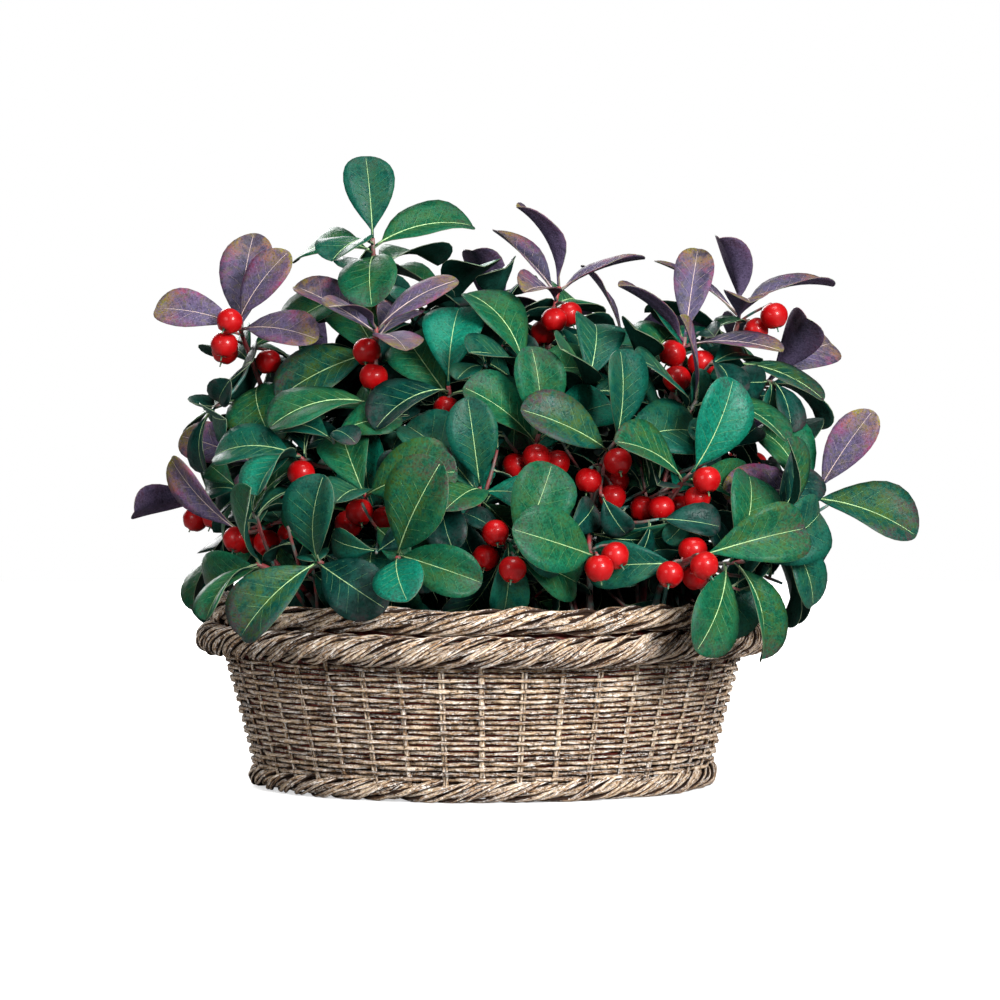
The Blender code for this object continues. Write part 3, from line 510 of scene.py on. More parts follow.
def willow_finish(name, worn):
    """Weathered willow: fibres streaked from grimy brown to pale, with flakes of bark gone white and darker
    patches. It also paints light: each rod is lighter along its outer side, a painted highlight, and much
    darker on its inner side and in the crevices, painted shade. worn moves it all toward the pale end."""
    basket = basket_settings()
    made, tree, shader = new_finish(name, 0.80, Specular_IOR_Level=0.25)
    grain = wired(tree, "ShaderNodeAttribute", attribute_name="grain").outputs["Vector"]
    depth = wired(tree, "ShaderNodeAttribute", attribute_name="depth").outputs["Fac"]
    fibre = effect(tree, rod_grain(), Grain=grain)
    smudge = effect(tree, blotches(), Patches=75.0, Specks=640.0)
    specks = effect(tree, blotches(), Patches=900.0, Specks=3000.0)["Patch"]
    tone = number_tone(tree, wired(tree, "ShaderNodeSeparateXYZ", {"Vector": grain}).outputs["Z"])
    bright = spread(tree, fibre["Streak"], 0.30, 0.70, -0.36, 0.36)
    for source, low, high, least, most in (
        (tone, 0.0, 1.0, -0.26, 0.26),
        (smudge["Patch"], 0.35, 0.65, -0.24, 0.24),
        (smudge["Speck"], 0.35, 0.65, -0.16, 0.16),
        # painted light: a painted highlight on each rod's outer side, painted shade on its inner side and in
        # the crevices
        (depth, 0.03, 0.42, 0.26, -0.80),
    ):
        bright = sum_of(tree, "ADD", bright, spread(tree, source, low, high, least, most))
    shade = rgba(basket.willow_dark)
    shade = painted(tree, shade, spread(tree, bright, -0.34 - worn, -0.02 - worn), basket.willow)
    # the pale colour comes with real bleaching of the fibres and with the painted highlight on each rod's
    # outer side
    bleach_and_highlight = spread(tree, bright, 0.04 - worn, 0.62 - worn, 0.0, 0.85)
    shade = painted(tree, shade, bleach_and_highlight, basket.willow_pale)
    exposed = spread(tree, depth, 0.15, 0.45, 1.0, 0.0)
    noises = (fibre["Hairs"], fibre["Chips"], specks)
    for source, (low, high) in zip(noises, ((0.59, 0.62), (0.57, 0.60), (0.61, 0.63))):
        flake = sum_of(tree, "MULTIPLY", spread(tree, source, low, high, 0.0, 0.85), exposed)
        shade = painted(tree, shade, flake, basket.flake)
    for source, (low, high) in zip(noises, ((0.38, 0.42), (0.40, 0.43), (0.38, 0.40))):
        shade = painted(tree, shade, spread(tree, source, low, high, 0.85, 0.0), basket.willow_dark)
    tree.links.new(shade, shader.inputs["Base Color"])
    bumped(tree, shader, fibre["Streak"], 0.8, 0.0006)
    return made


def leaf_finish(name, colour, middle, outer, tip, fleck, flush=0.5, roughness=0.40, dull=False):
    """A leathery leaf: its colour gives way to middle beside the midrib and, as painted light, on one half of
    the folded blade, to outer toward its outer rim and to tip at its end, as far as flush and the mottling
    let it, with patches of fleck, under furrowed veins darkened by painted shade, and a fine net of cells."""
    made, tree, shader = new_finish(name, roughness, Specular_IOR_Level=0.06 if dull else 0.11)
    place = wired(tree, "ShaderNodeAttribute", attribute_name="blade").outputs["Vector"]
    part = effect(tree, leaf_pattern(), Blade=place)
    mottle = effect(tree, blotches(), Patches=190.0, Specks=1100.0)
    patch = effect(tree, blotches(), Patches=340.0, Specks=800.0)["Patch"]
    net = effect(tree, leaf_cells(), Cells=560.0)["Net"]
    dark = [SHADE_SHARE * channel for channel in colour]
    lit = [min(1.0, LIGHT_SHARE * channel + 0.003) for channel in colour]
    shade = rgba(colour)
    # the middle mask is partly painted light: on one half of the blade it stands for the fold's halves lit
    # differently
    for mask, tint, most in (("Middle", middle, 1.0), ("Outer", outer, 0.9), ("Tip", tip, 0.9)):
        amount = sum_of(tree, "MULTIPLY", part[mask], spread(tree, mottle["Patch"], 0.40, 0.60, 0.15, most))
        shade = painted(tree, shade, sum_of(tree, "MULTIPLY", amount, flush * 1.5, clamp=True), tint)
    cloud = spread(tree, mottle["Patch"], 0.38, 0.62)
    for source, low, high, least, most, tint in (
        (patch, 0.50, 0.62, 0.0, flush * 0.8, fleck),
        (cloud, 0.45, 0.0, 0.0, 0.55, dark),
        (mottle["Speck"], 0.55, 0.66, 0.0, 0.5, lit),
        (mottle["Speck"], 0.45, 0.34, 0.0, 0.6, dark),
        (net, 0.0, 1.0, 0.35, 0.0, lit),
        # painted shade darkens the side veins' furrows
        (part["Crease"], 0.0, 1.0, 0.0, 0.55, dark),
    ):
        shade = painted(tree, shade, spread(tree, source, low, high, least, most), tint)
    tree.links.new(shade, shader.inputs["Base Color"])
    gloss = spread(tree, mottle["Patch"], 0.35, 0.7, roughness - 0.06, roughness + 0.12)
    tree.links.new(gloss, shader.inputs["Roughness"])
    height = sum_of(tree, "SUBTRACT", sum_of(tree, "MULTIPLY", net, 0.35), part["Crease"])
    bumped(tree, shader, height, 0.45, 0.00022)
    return made


def plain_finish(name, colour, tint, roughness, scale=240.0):
    """One colour clouded with another, for veins, edges, stems and compost."""
    made, tree, shader = new_finish(name, roughness)
    cloud = effect(tree, blotches(), Patches=scale, Specks=6 * scale)
    shade = painted(tree, rgba(colour), spread(tree, cloud["Patch"], 0.40, 0.66), tint)
    tree.links.new(shade, shader.inputs["Base Color"])
    bumped(tree, shader, cloud["Speck"], 0.3, 0.0003)
    return made


def berry_finish():
    """A glossy red skin, a little paler in patches, with pale specks painted as small highlights, under a
    clear coat.
    """
    plant = plant_settings()
    coat = {"Coat_Weight": 0.22, "Coat_Roughness": 0.04, "Specular_IOR_Level": 0.15}
    made, tree, shader = new_finish("berry_skin", 0.42, **coat)
    cloud = effect(tree, blotches(), Patches=160.0, Specks=1800.0)
    paler = [min(1.0, part * 1.25 + 0.006) for part in plant.berry]
    shade = painted(tree, rgba(plant.berry), spread(tree, cloud["Patch"], 0.45, 0.75), paler)
    # painted highlights: pale specks for the skin's small glints
    shade = painted(tree, shade, spread(tree, cloud["Speck"], 0.70, 0.76, 0.0, 0.5), plant.berry_speck)
    tree.links.new(shade, shader.inputs["Base Color"])
    return made


# The basket


def twisted_rods(rope, rng):
    """Paths of a border's rods, their radii and their outward directions. At angle t about the basket a rod
    lies at the angle turns * t + its own start round the rope's middle line, and at the rope's thickness from
    it, less its radius and a bulge that makes each strand round."""
    steps = rope.turns * ROPE_STEPS
    turn = np.linspace(0, TAU, steps, endpoint=False)
    strand, rod = np.meshgrid(np.arange(rope.strands), np.arange(rope.rods), indexing="ij")
    off = (rod - (rope.rods - 1) / 2).ravel() / ((rope.rods - 1) / 2)
    start = TAU * strand.ravel() / rope.strands + off * STRAND_ARC * math.pi / rope.strands
    count = len(start)
    slack = wobble(rng, count, steps, (3, 30))
    lift = wobble(rng, count, steps, (8, 60))
    whole = wobble(rng, 3, steps, (3, 14))
    angle = rope.turns * turn + start[:, None] + rope.loose * 1.3 * slack + 0.10 * whole[0]
    reach = rope.thickness - rope.rod_radius - rope.bulge * off[:, None] ** 2 + 0.00034 * lift
    radius = rope.radius + 0.0004 * whole[1] + reach * np.cos(angle)
    height = rope.height + 0.0004 * whole[2] + reach * np.sin(angle)
    uneven = 0.18 * rng.uniform(-1, 1, (count, 1)) + 0.10 * wobble(rng, count, steps, (5, 40))
    thick = rope.rod_radius * (1 + uneven)
    paths = ring_path(turn, radius, np.maximum(height, thick * FLOOR_CLEARANCE))
    outward = ring_path(turn, np.cos(angle), np.sin(angle))
    return paths, thick, outward


def plain_ring(rope, thickness, steps):
    """A round ring of this thickness along a border's middle line."""
    turn = np.linspace(0, TAU, steps, endpoint=False)
    path = ring_path(turn, rope.radius, rope.height)[None]
    return tubes(path, np.full((1, steps), thickness), ring_path(turn, 1.0, 0.0)[None], 10, closed=True)


def border(rope, finish):
    """A border of twisted strands round a plain core that closes its middle; the core is coloured in full
    painted shade.
    """
    rng = np.random.default_rng(len(rope.name) + rope.turns)
    paths, thick, outward = twisted_rods(rope, rng)
    rods = tubes(paths, thick, outward, 7, closed=True, flat=1.15)
    core = plain_ring(rope, rope.thickness * CORE_SHARE, RING_STEPS)
    # the core is painted all in shade, as if deep inside the rope
    core[2]["depth"][:] = 1.0
    corners, faces, marks = joined([rods, core])
    piece = surface("willow_" + rope.name, corners, faces, [finish], marks=marks)
    return dress(piece, "willow", rope.name)


class GAULTHERIA_OT_borders(bpy.types.Operator):
    """Twists the basket's foot border and the two borders of its rim"""

    bl_idname = "gaultheria.borders"
    bl_label = "Borders"

    def execute(self, context):
        finish = willow_finish("willow_border", 0.02)
        for rope in (FOOT_BORDER, OUTER_BORDER, UPPER_BORDER):
            border(rope, finish)
        return {"FINISHED"}


def weaver_paths(rng):
    """Each row's weaver: radius = the wall's middle there + swing * cos(half the stakes * t + row * pi), so
    that it passes outside one stake and inside the next, and the row above does the opposite."""
    basket = basket_settings()
    steps = STAKES * 8
    turn = np.linspace(0, TAU, steps, endpoint=False)
    row = np.arange(basket.rows)[:, None]
    sway = wobble(rng, basket.rows, steps, (4, 24))
    height = WALL_FOOT + (row - 0.40) * basket.row_pitch + 0.00016 * sway
    swing = np.cos(STAKES / 2 * turn + row * math.pi)
    swing = np.sign(swing) * np.abs(swing) ** 0.8
    radius = wall_radius(height) - WEAVE_DEPTH + basket.weaver_swing * swing
    radius = radius + 0.00022 * wobble(rng, basket.rows, steps, (10, 70))
    thick = basket.weaver_radius * (
        1 + 0.10 * rng.uniform(-1, 1, (basket.rows, 1)) + 0.10 * wobble(rng, basket.rows, steps, (5, 50))
    )
    return ring_path(turn, radius, height), thick, ring_path(turn, np.ones_like(radius), 0.0)


class GAULTHERIA_OT_weave(bpy.types.Operator):
    """Weaves the basket's side, one weaver for each row"""

    bl_idname = "gaultheria.weave"
    bl_label = "Weave"

    def execute(self, context):
        paths, thick, outward = weaver_paths(np.random.default_rng(21))
        corners, faces, marks = tubes(paths, thick, outward, 7, closed=True, flat=1.05)
        piece = surface("willow_weavers", corners, faces, [willow_finish("willow_weaver", 0.0)], marks=marks)
        dress(piece, "willow", "side_wall")
        return {"FINISHED"}


class GAULTHERIA_OT_stakes(bpy.types.Operator):
    """Sets the stakes, by turns one flat rod and a pair of thin ones, from the foot border to the rim"""

    bl_idname = "gaultheria.stakes"
    bl_label = "Stakes"

    def execute(self, context):
        basket = basket_settings()
        rng = np.random.default_rng(40)
        height = np.linspace(STAKE_FOOT, OUTER_BORDER.height + 0.002, 26)
        rods = []
        for number in range(STAKES):
            middle = TAU * number / STAKES + rng.uniform(-0.0022, 0.0022)
            lean = rng.uniform(-0.006, 0.006)
            pair = number % 2
            half = basket.stake_width / (4.4 if pair else 2)
            for side in (-1, 1) if pair else (0,):
                shift = side * half * 1.08 / WALL_FOOT_RADIUS
                angle = middle + shift + lean * (height - height[0]) / height[-1]
                radius = wall_radius(height) - WEAVE_DEPTH + 0.0002
                path = ring_path(angle, radius, height)[None]
                outward = ring_path(angle, 1.0, 0.0)[None]
                thin = 0.9 if pair else 0.46
                thick = half * thin * (1 + 0.08 * rng.uniform(-1, 1, len(height)))[None]
                seed = np.array([number + side / 4])
                rods.append(tubes(path, thick, outward, 8, flat=1 / thin, seeds=seed))
        corners, faces, marks = joined(rods)
        # the painted shade covers less of each stake's inner side
        marks["depth"] *= 0.5
        piece = surface("willow_stakes", corners, faces, [willow_finish("willow_stake", 0.06)], marks=marks)
        dress(piece, "willow", "side_wall")
        return {"FINISHED"}


class GAULTHERIA_OT_base(bpy.types.Operator):
    """Weaves the basket's round base over its spokes, with a binder between it and the foot border"""

    bl_idname = "gaultheria.base"
    bl_label = "Base"

    def execute(self, context):
        rng = np.random.default_rng(16)
        outermost = wall_radius(BASE_HEIGHT)
        ring = np.arange(0.006, outermost - 0.0055, BASE_PITCH)[:, None]
        steps = 128
        turn = np.linspace(0, TAU, steps, endpoint=False)
        row = np.arange(len(ring))[:, None]
        height = BASE_HEIGHT + 0.0005 * np.cos(BASE_SPOKES / 2 * turn + row * math.pi)
        radius = ring + 0.0001 * wobble(rng, len(ring), steps, (3, 20))
        down = ring_path(turn, 0 * radius, -1.0)
        thick = np.full((len(ring), steps), BASE_ROD_RADIUS)
        weave = tubes(ring_path(turn, radius, height), thick, down, 6, closed=True)
        edge = outermost - 0.0042 + 0.0001 * wobble(rng, 1, steps, (3, 20))
        binder = ring_path(turn, edge, BASE_HEIGHT - 0.0019)
        binder = tubes(binder, np.full((1, steps), BINDER_RADIUS), down[:1], 6, closed=True)
        reach = np.linspace(0.0, ring[-1, 0], 12)
        across = np.concatenate([-reach[:0:-1], reach])
        rods = []
        for number in range(BASE_SPOKES // 2):
            path = ring_path(TAU * number / BASE_SPOKES, across, BASE_HEIGHT)[None]
            under = np.zeros_like(path) + (0, 0, -1.0)
            rods.append(tubes(path, np.full((1, len(across)), SPOKE_RADIUS), under, 6, flat=SPOKE_FLATNESS))
        corners, faces, marks = joined([weave, binder, *rods])
        piece = surface("willow_base", corners, faces, [willow_finish("willow_base_rod", -0.02)], marks=marks)
        dress(piece, "willow", "base_board")
        return {"FINISHED"}


def turned_grid(profile, steps, shift):
    """A closed profile of (radius, height) turned about the axis on a grid; shift(turn, place along the
    profile) moves each point by (outward, up)."""
    turn = np.linspace(0, TAU, steps, endpoint=False)
    place = np.arange(len(profile))[:, None]
    outward, up = shift(turn, place)
    radius, height = profile[:, :1] + outward, profile[:, 1:] + up
    corners = ring_path(turn, np.maximum(radius, 0), height).reshape(-1, 3)
    faces = tube_faces(1, len(profile), steps, False)
    return corners, faces


def ripples(rng, turn, waves, count):
    """A sum of count sines round the ring, about -1 to 1."""
    number, phase = rng.integers(*waves, count), rng.uniform(0, TAU, count)
    return np.sin(number[:, None] * turn + phase[:, None]).sum(0) / math.sqrt(count)


class GAULTHERIA_OT_liner(bpy.types.Operator):
    """Lines the basket with a thin crinkled sheet that shows between the rods"""

    bl_idname = "gaultheria.liner"
    bl_label = "Liner"

    def execute(self, context):
        rng = np.random.default_rng(3)
        rise, collar = np.linspace(0.016, WALL_TOP, 12), np.linspace(0.059, LINER_TOP, 7)
        height = np.concatenate([[LINER_FLOOR], rise, collar])
        outer = np.minimum(wall_radius(height) - LINER_INSET, COLLAR_RADIUS)
        inner_floor = LINER_FLOOR + LINER_THICKNESS
        skin = np.stack([outer, height], 1)
        lining = np.stack([outer - LINER_THICKNESS, np.maximum(height, inner_floor)], 1)
        profile = np.concatenate([[[0.0, LINER_FLOOR]], skin, lining[::-1], [[0.0, inner_floor]]])
        standing = profile[:, :1] > 0.01
        free = np.interp(profile[:, 1], [0.05, LINER_TOP], [0.0, 1.0])[:, None] * standing

        def crinkle(turn, place):
            """Folds that lean from one place along the profile to the next, stronger at the free edge."""
            fold = 0.55 * ripples(rng, turn, (9, 40), 8) + 0.3 * ripples(rng, turn, (40, 110), 8)
            lean = 0.35 * ripples(rng, turn, (20, 60), 6)
            out = 0.0005 * (fold + lean * np.sin(place * 0.9)) * (0.3 + free) * standing
            return out, 0.0009 * ripples(rng, turn, (5, 40), 8) * free

        corners, faces = turned_grid(profile, 240, crinkle)
        colour = basket_settings().liner
        finish = plain_finish("liner_sheet", colour, [part * 0.35 for part in colour], 0.55)
        piece = surface("basket_liner", corners, faces[:, ::-1], [finish])
        dress(piece, "liner", "liner")
        return {"FINISHED"}


class GAULTHERIA_OT_compost(bpy.types.Operator):
    """Fills the liner with compost: a rough top with crumbs on it"""

    bl_idname = "gaultheria.compost"
    bl_label = "Compost"

    def execute(self, context):
        basket = basket_settings()
        rng = np.random.default_rng(64)
        rings = np.linspace(0.0, 1.0, 44)
        top = np.stack([rings * (COLLAR_RADIUS - 0.0022), 0 * rings + SOIL_TOP - 0.0006], 1)
        side = wall_radius(np.array((WALL_TOP, SOIL_FLOOR))) - SOIL_INSETS
        side = np.array([[side[0], WALL_TOP - 0.002], [side[1], SOIL_FLOOR], [0, SOIL_FLOOR]])
        profile = np.concatenate([top, side])
        loose = np.concatenate([np.ones(len(top) - 1), np.zeros(4)])[:, None]
        waves = rng.uniform(-1, 1, (60, 2)) * rng.uniform(150, 1500, (60, 1))
        phase = rng.uniform(0, TAU, 60)

        def lumps(turn, place):
            """Lumps of the loose top, as a sum of waves across it."""
            x, y = profile[:, :1] * np.cos(turn), profile[:, :1] * np.sin(turn)
            x_wave, y_wave, start = (values[:, None, None] for values in (*waves.T, phase))
            height = np.sin(x_wave * x + y_wave * y + start).sum(0)
            return 0 * x, (0.00035 * height).clip(-0.0016, 0.0014) * loose

        corners, faces = turned_grid(profile, 160, lumps)
        shades = [basket.compost, [part * 2.6 for part in basket.compost]]
        finish = plain_finish("compost", *shades, 0.95, scale=420.0)
        piece = surface("compost_bed", corners, faces[:, ::-1], [finish])
        dress(piece, "compost", "soil")

        octahedron = np.array([(1, 0, 0), (-1, 0, 0), (0, 1, 0), (0, -1, 0), (0, 0, 1), (0, 0, -1)], float)
        upper = (0, 2, 4), (2, 1, 4), (1, 3, 4), (3, 0, 4)
        lower = (2, 0, 5), (1, 2, 5), (3, 1, 5), (0, 3, 5)
        lump = octahedron * rng.uniform(0.6, 1.3, (CRUMBS, 6, 1)) * rng.uniform(*CRUMB_SIZES, (CRUMBS, 1, 3))
        turn = rng.uniform(0, TAU, CRUMBS)
        reach = np.sqrt(rng.uniform(0, 1, CRUMBS)) * (COLLAR_RADIUS - 0.004)
        corners = lump + ring_path(turn, reach, SOIL_TOP + 0.0004)[:, None]
        faces = (np.array(upper + lower) + 6 * np.arange(CRUMBS)[:, None, None]).reshape(-1, 3)
        flat = np.ones(len(faces), bool)
        crumbs = surface("compost_crumbs", corners.reshape(-1, 3), faces, [finish], flat=flat)
        dress(crumbs, "compost", "soil")
        return {"FINISHED"}


# How the plant grows, by the rule of its solids

# Angles are in degrees, and a range is what a leaf's own number is drawn from.
SIZE_RANGE = (0.88, 1.10)
YOUNGEST_SIZE = 0.9
LEAF_WIDTH_SHARE = 0.66  # of the leaf's length
YOUNG_WIDTH_SHARE = 0.48
WIDTH_RANGE = (0.90, 1.08)
PETIOLE_WIDTH = 0.0013
PETIOLE_SHARE = 0.09
BLADE_BASE_POWER = 0.90
BLADE_TIP_POWER = 0.50
ARCH_RANGE = (38, 86)
YOUNG_ARCH_SHARE = 0.6
FOLD_RANGE = (3, 12)
ROLL_RANGE = (-14, 14)
GOLDEN_ANGLE = math.radians(137.5)
CROWN_LEAVES = 5
CROWN_GAP = 0.0020  # from leaf to leaf of those that crowd at the tip
STEM_GAP = 0.0085  # from leaf to leaf further down
YOUNG_TILT = 26
TILT_SPREAD = 55
TILT_PACE = 2.2
TILT_WANDER = (-8, 8)
TURN_WANDER = (-10, 10)
TILT_LIMITS = (12, 112)
TRIES = (  # how a leaf may give way: turned further, tilted further, and its share of its length
    (0, 0, 1.0), (14, 0, 1.0), (-14, 0, 1.0), (26, -8, 1.0), (-26, -8, 1.0), (0, 16, 0.95), (0, -16, 0.95),
    (20, 18, 0.88), (-20, 18, 0.88), (34, -16, 0.85), (-34, -16, 0.85),
)
FINE_TRIES = (
    *TRIES, (50, 10, 0.75), (-50, 10, 0.75), (90, 0, 0.68), (-90, 0, 0.68), (0, 30, 0.62), (180, 0, 0.62),
)
LEAF_CLEARANCE = 0.0007
FINE_CLEARANCE = 0.0002
TEST_SECTIONS = (-0.004, 0.10, 0.50, 0.86, 1.0)
TEST_KEEL = 0.0008  # how far a tested leaf reaches under its midrib
GUARD_STEPS = 72
NEAR_ROOTS = 0.097  # leaves whose roots lie further apart than this can't touch

BERRY_REACH = 0.0096
BERRY_START = 0.0080
BERRY_STEP = 0.0028
BERRY_FAN = (0, 58, -58, 112, -112)
BERRY_FAN_WANDER = (-10, 10)
BERRY_DROP = (0.002, 0.006)
STALK_ARCH = 0.0035  # four times how far a stalk's middle rises
STALK_PLACES = (0, 0.8, 1)
STALK_RADII = (0.00055, 0.0006, 0.0010)
LIGHT_WAY = 0.035  # how far leaves keep off a berry's sunny side, along a way this thick
LIGHT_RADII = (0.003, 0.002)
SUN_REACH = 0.05  # twice how far back a shoot still turns its berries to the front
CROWD_TRIES = 60
CROWD_SPACING = (0.99, 1.06)  # between the middles of crowded berries, in berry widths
CROWD_CLOSEST = 0.98
CROWD_REACH = 2.1 * BERRY_REACH

STEM_FLARE_RADIUS = 0.0026
STEM_RADIUS = 0.0016
FORK_RADIUS = 0.0012
FLARE_PLACES = (0, 0.03, 0.12, 1)  # shares of a bare stem's length, and its radii there
FLARE_RADII = (STEM_FLARE_RADIUS, 0.00198, STEM_RADIUS, FORK_RADIUS)
STEM_BURIED = 0.0010
SCAR_HEIGHT = 0.00022
RIB_HEIGHT = 0.00007
SIDE_TWIG_RADIUS = 0.0010
TIP_RADIUS = 0.0009
FORK_SHARE = 0.42
SIDE_SHARE = 0.52
RISE_SHARE = 0.42  # how far a stem keeps its first direction, and then its last, in its own span
ARRIVAL_SHARE = 0.36
SMALL_STEP = 0.02
TWIG_STEPS = 3

# A shoot is given by its tip, how far it leans outward, the turn of its first leaf, and what it bears: all
# its leaves, how many of them are still young and purple, and its berries. pull says how far it leans toward
# the light in front instead, from 0 to 1.
Shoot = namedtuple("Shoot", "x y z lean turn leaves young berries pull", defaults=(0.0,))
Stem = namedtuple("Stem", "name x y shoots")
STEMS = (
    Stem("tall_left", -0.034, -0.004, (
        Shoot(-0.046, -0.010, 0.2290, 30, 104, 12, 0, 0, 0.95),
        Shoot(-0.044, -0.040, 0.192, 25, 250, 8, 5, 2, 0.8),
    )),
    Stem("far_left", -0.068, 0.002, (
        Shoot(-0.102, -0.014, 0.194, 52, 46, 8, 5, 4, 0.85),
        Shoot(-0.098, 0.014, 0.160, 50, 250, 7, 0, 0),
    )),
    Stem("left", -0.074, -0.020, (
        Shoot(-0.094, -0.022, 0.135, 55, 200, 7, 3, 0),
        Shoot(-0.100, -0.046, 0.108, 72, 160, 7, 2, 4),
    )),
    Stem("left_rim", -0.066, -0.050, (
        Shoot(-0.092, -0.074, 0.096, 74, 262, 3, 0, 0),
        Shoot(-0.066, -0.096, 0.098, 78, 64, 4, 0, 0),
    )),
    Stem("left_front", -0.046, -0.030, (
        Shoot(-0.045, -0.052, 0.162, 34, 100, 8, 0, 0),
        Shoot(-0.076, -0.060, 0.140, 50, 190, 7, 0, 1),
    )),
    Stem("front_left", -0.034, -0.068, (
        Shoot(-0.048, -0.080, 0.125, 60, 215, 9, 0, 3, 0.7),
        Shoot(-0.034, -0.108, 0.100, 80, 300, 7, 0, 0),
    )),
    Stem("mid_front", -0.010, -0.034, (
        Shoot(-0.014, -0.054, 0.168, 32, 80, 8, 0, 2),
        Shoot(0.017, -0.045, 0.174, 26, 80, 7, 0, 0),
    )),
    Stem("front", -0.004, -0.070, (
        Shoot(-0.001, -0.090, 0.128, 58, 100, 8, 0, 0),
        Shoot(0.014, -0.110, 0.100, 80, 280, 7, 0, 3),
    )),
    Stem("front_mid_right", 0.022, -0.054, (
        Shoot(0.023, -0.076, 0.149, 50, 100, 8, 0, 3),
        Shoot(0.043, -0.052, 0.168, 34, 60, 7, 0, 0),
    )),
    Stem("front_right", 0.044, -0.070, (
        Shoot(0.054, -0.080, 0.146, 54, 85, 8, 0, 4),
        Shoot(0.046, -0.110, 0.099, 82, 250, 7, 0, 2),
    )),
    Stem("right_front", 0.066, -0.044, (
        Shoot(0.085, -0.078, 0.133, 56, 70, 8, 0, 5),
        Shoot(0.088, -0.048, 0.162, 38, 120, 7, 1, 0),
    )),
    Stem("right_rim", 0.070, -0.066, (
        Shoot(0.088, -0.110, 0.101, 80, 215, 9, 0, 4),
        Shoot(0.106, -0.092, 0.098, 78, 20, 6, 0, 0),
    )),
    Stem("right", 0.084, -0.022, (
        Shoot(0.120, -0.078, 0.112, 66, 120, 8, 0, 0),
        Shoot(0.138, -0.046, 0.124, 58, 50, 8, 2, 0, 0.7),
    )),
    Stem("top_right", 0.076, 0.008, (
        Shoot(0.108, -0.002, 0.201, 8, 150, 10, 5, 2),
        Shoot(0.122, 0.018, 0.170, 50, 0, 8, 2, 1),
    )),
    Stem("upper_right", 0.060, -0.012, (
        Shoot(0.084, -0.026, 0.188, 14, 40, 9, 3, 3, 0.6),
        Shoot(0.064, -0.030, 0.174, 26, 210, 7, 0, 0),
    )),
    Stem("top_middle", 0.024, 0.000, (
        Shoot(0.032, -0.004, 0.209, 14, 150, 12, 4, 3),
        Shoot(-0.014, 0.022, 0.200, 10, 300, 7, 0, 0),
    )),
    Stem("back_left", -0.046, 0.036, (
        Shoot(-0.066, 0.050, 0.172, 34, 60, 8, 3, 2),
        Shoot(-0.090, 0.080, 0.132, 56, 140, 7, 0, 0),
    )),
    Stem("back_far_left", -0.080, 0.032, (
        Shoot(-0.120, 0.038, 0.118, 68, 200, 7, 2, 2),
        Shoot(-0.104, 0.068, 0.098, 80, 130, 6, 0, 0),
    )),
    Stem("back_left_rim", -0.036, 0.072, (
        Shoot(-0.052, 0.112, 0.104, 78, 100, 7, 0, 3),
        Shoot(-0.018, 0.104, 0.136, 58, 70, 7, 0, 0),
    )),
    Stem("back_middle", 0.000, 0.046, (
        Shoot(0.006, 0.058, 0.190, 22, 80, 8, 4, 2),
        Shoot(-0.032, 0.068, 0.166, 36, 110, 7, 0, 0),
    )),
    Stem("back_right", 0.048, 0.042, (
        Shoot(0.060, 0.050, 0.184, 28, 50, 8, 3, 0),
        Shoot(0.040, 0.088, 0.150, 48, 90, 7, 0, 3),
    )),
    Stem("back_right_rim", 0.040, 0.076, (
        Shoot(0.050, 0.114, 0.104, 78, 80, 7, 0, 0),
        Shoot(0.082, 0.094, 0.126, 64, 30, 7, 0, 2),
    )),
    Stem("back_far_right", 0.082, 0.034, (
        Shoot(0.112, 0.050, 0.140, 54, 20, 7, 2, 3),
        Shoot(0.124, 0.030, 0.102, 80, 350, 6, 0, 0),
    )),
)
STEM_NODES = ["stem_" + stem.name for stem in STEMS]
LEAF_NODES = ["leaves_" + stem.name for stem in STEMS]

# Finer twigs that the solids leave out: where each leaves its twig, its length and its lean off the twig.
FINE_TWIGS = ((0.10, 0.030, 62), (0.34, 0.028, 58), (0.60, 0.026, 54))
FINE_BACK = 0.92  # it starts this share of the way back from the tip to its place
FINE_LEAN_WANDER = (-8, 8)
FINE_LENGTHS = (0.85, 1.15)
FINE_RADII = (0.0009, 0.0006)
FINE_LEAVES = 6
FINE_SIZE = 0.74
FINE_REACH = 0.80  # how far out, as a share of the way to the nearest tips, finer leaves may come
SAME_WAY = 0.86  # a tip counts as near a leaf's way when the cosine between them is above this
HEART = np.array((0.0, 0.0, 0.100))  # the middle of the crown, from which reach is measured
RIM_CLEAR = 0.090
LOW_SHOOTS = 3  # short shoots from the foot of each stem
LOW_START = 0.006
LOW_REACH = (0.010, 0.026)
LOW_RISE = (0.016, 0.044)
LOW_LEAVES = 6
LOW_SIZE = 0.80

Leaf = namedtuple("Leaf", "root way face length width arch fold")
Berry = namedtuple("Berry", "root centre light shoot")
Placed = namedtuple("Placed", "leaf whole blade owner kind")  # kind is green, young or inner
Twig = namedtuple("Twig", "points low high kind")  # low and high are its radii at its foot and its tip


def bezier(points, share):
    """A point on the cubic through four control points, by repeated mixing of neighbours."""
    while len(points) > 1:
        points = [a.lerp(b, share) for a, b in zip(points, points[1:])]
    return points[0]


def shoot_axis(shoot):
    """The way a shoot's tip points: leaning by its lean, outward from the basket's axis or, as far as it is
    pulled, toward the light in front."""
    outward = Vector((shoot.x, shoot.y, 0)).normalized().lerp(Vector((0, -1, 0)), shoot.pull).normalized()
    lean = math.radians(shoot.lean)
    return outward * math.sin(lean) + Vector((0, 0, 1)) * math.cos(lean)


def stem_controls(start, start_way, tip, axis):
    """Control points of a stem that sets out along start_way and ends at tip, along axis."""
    span = (tip - start).length
    return [start, start + start_way * span * RISE_SHARE, tip - axis * span * ARRIVAL_SHARE, tip]


def path_between(controls, low, high, steps):
    """Points of the cubic from share low to share high."""
    return [bezier(controls, low + (high - low) * k / steps) for k in range(steps + 1)]


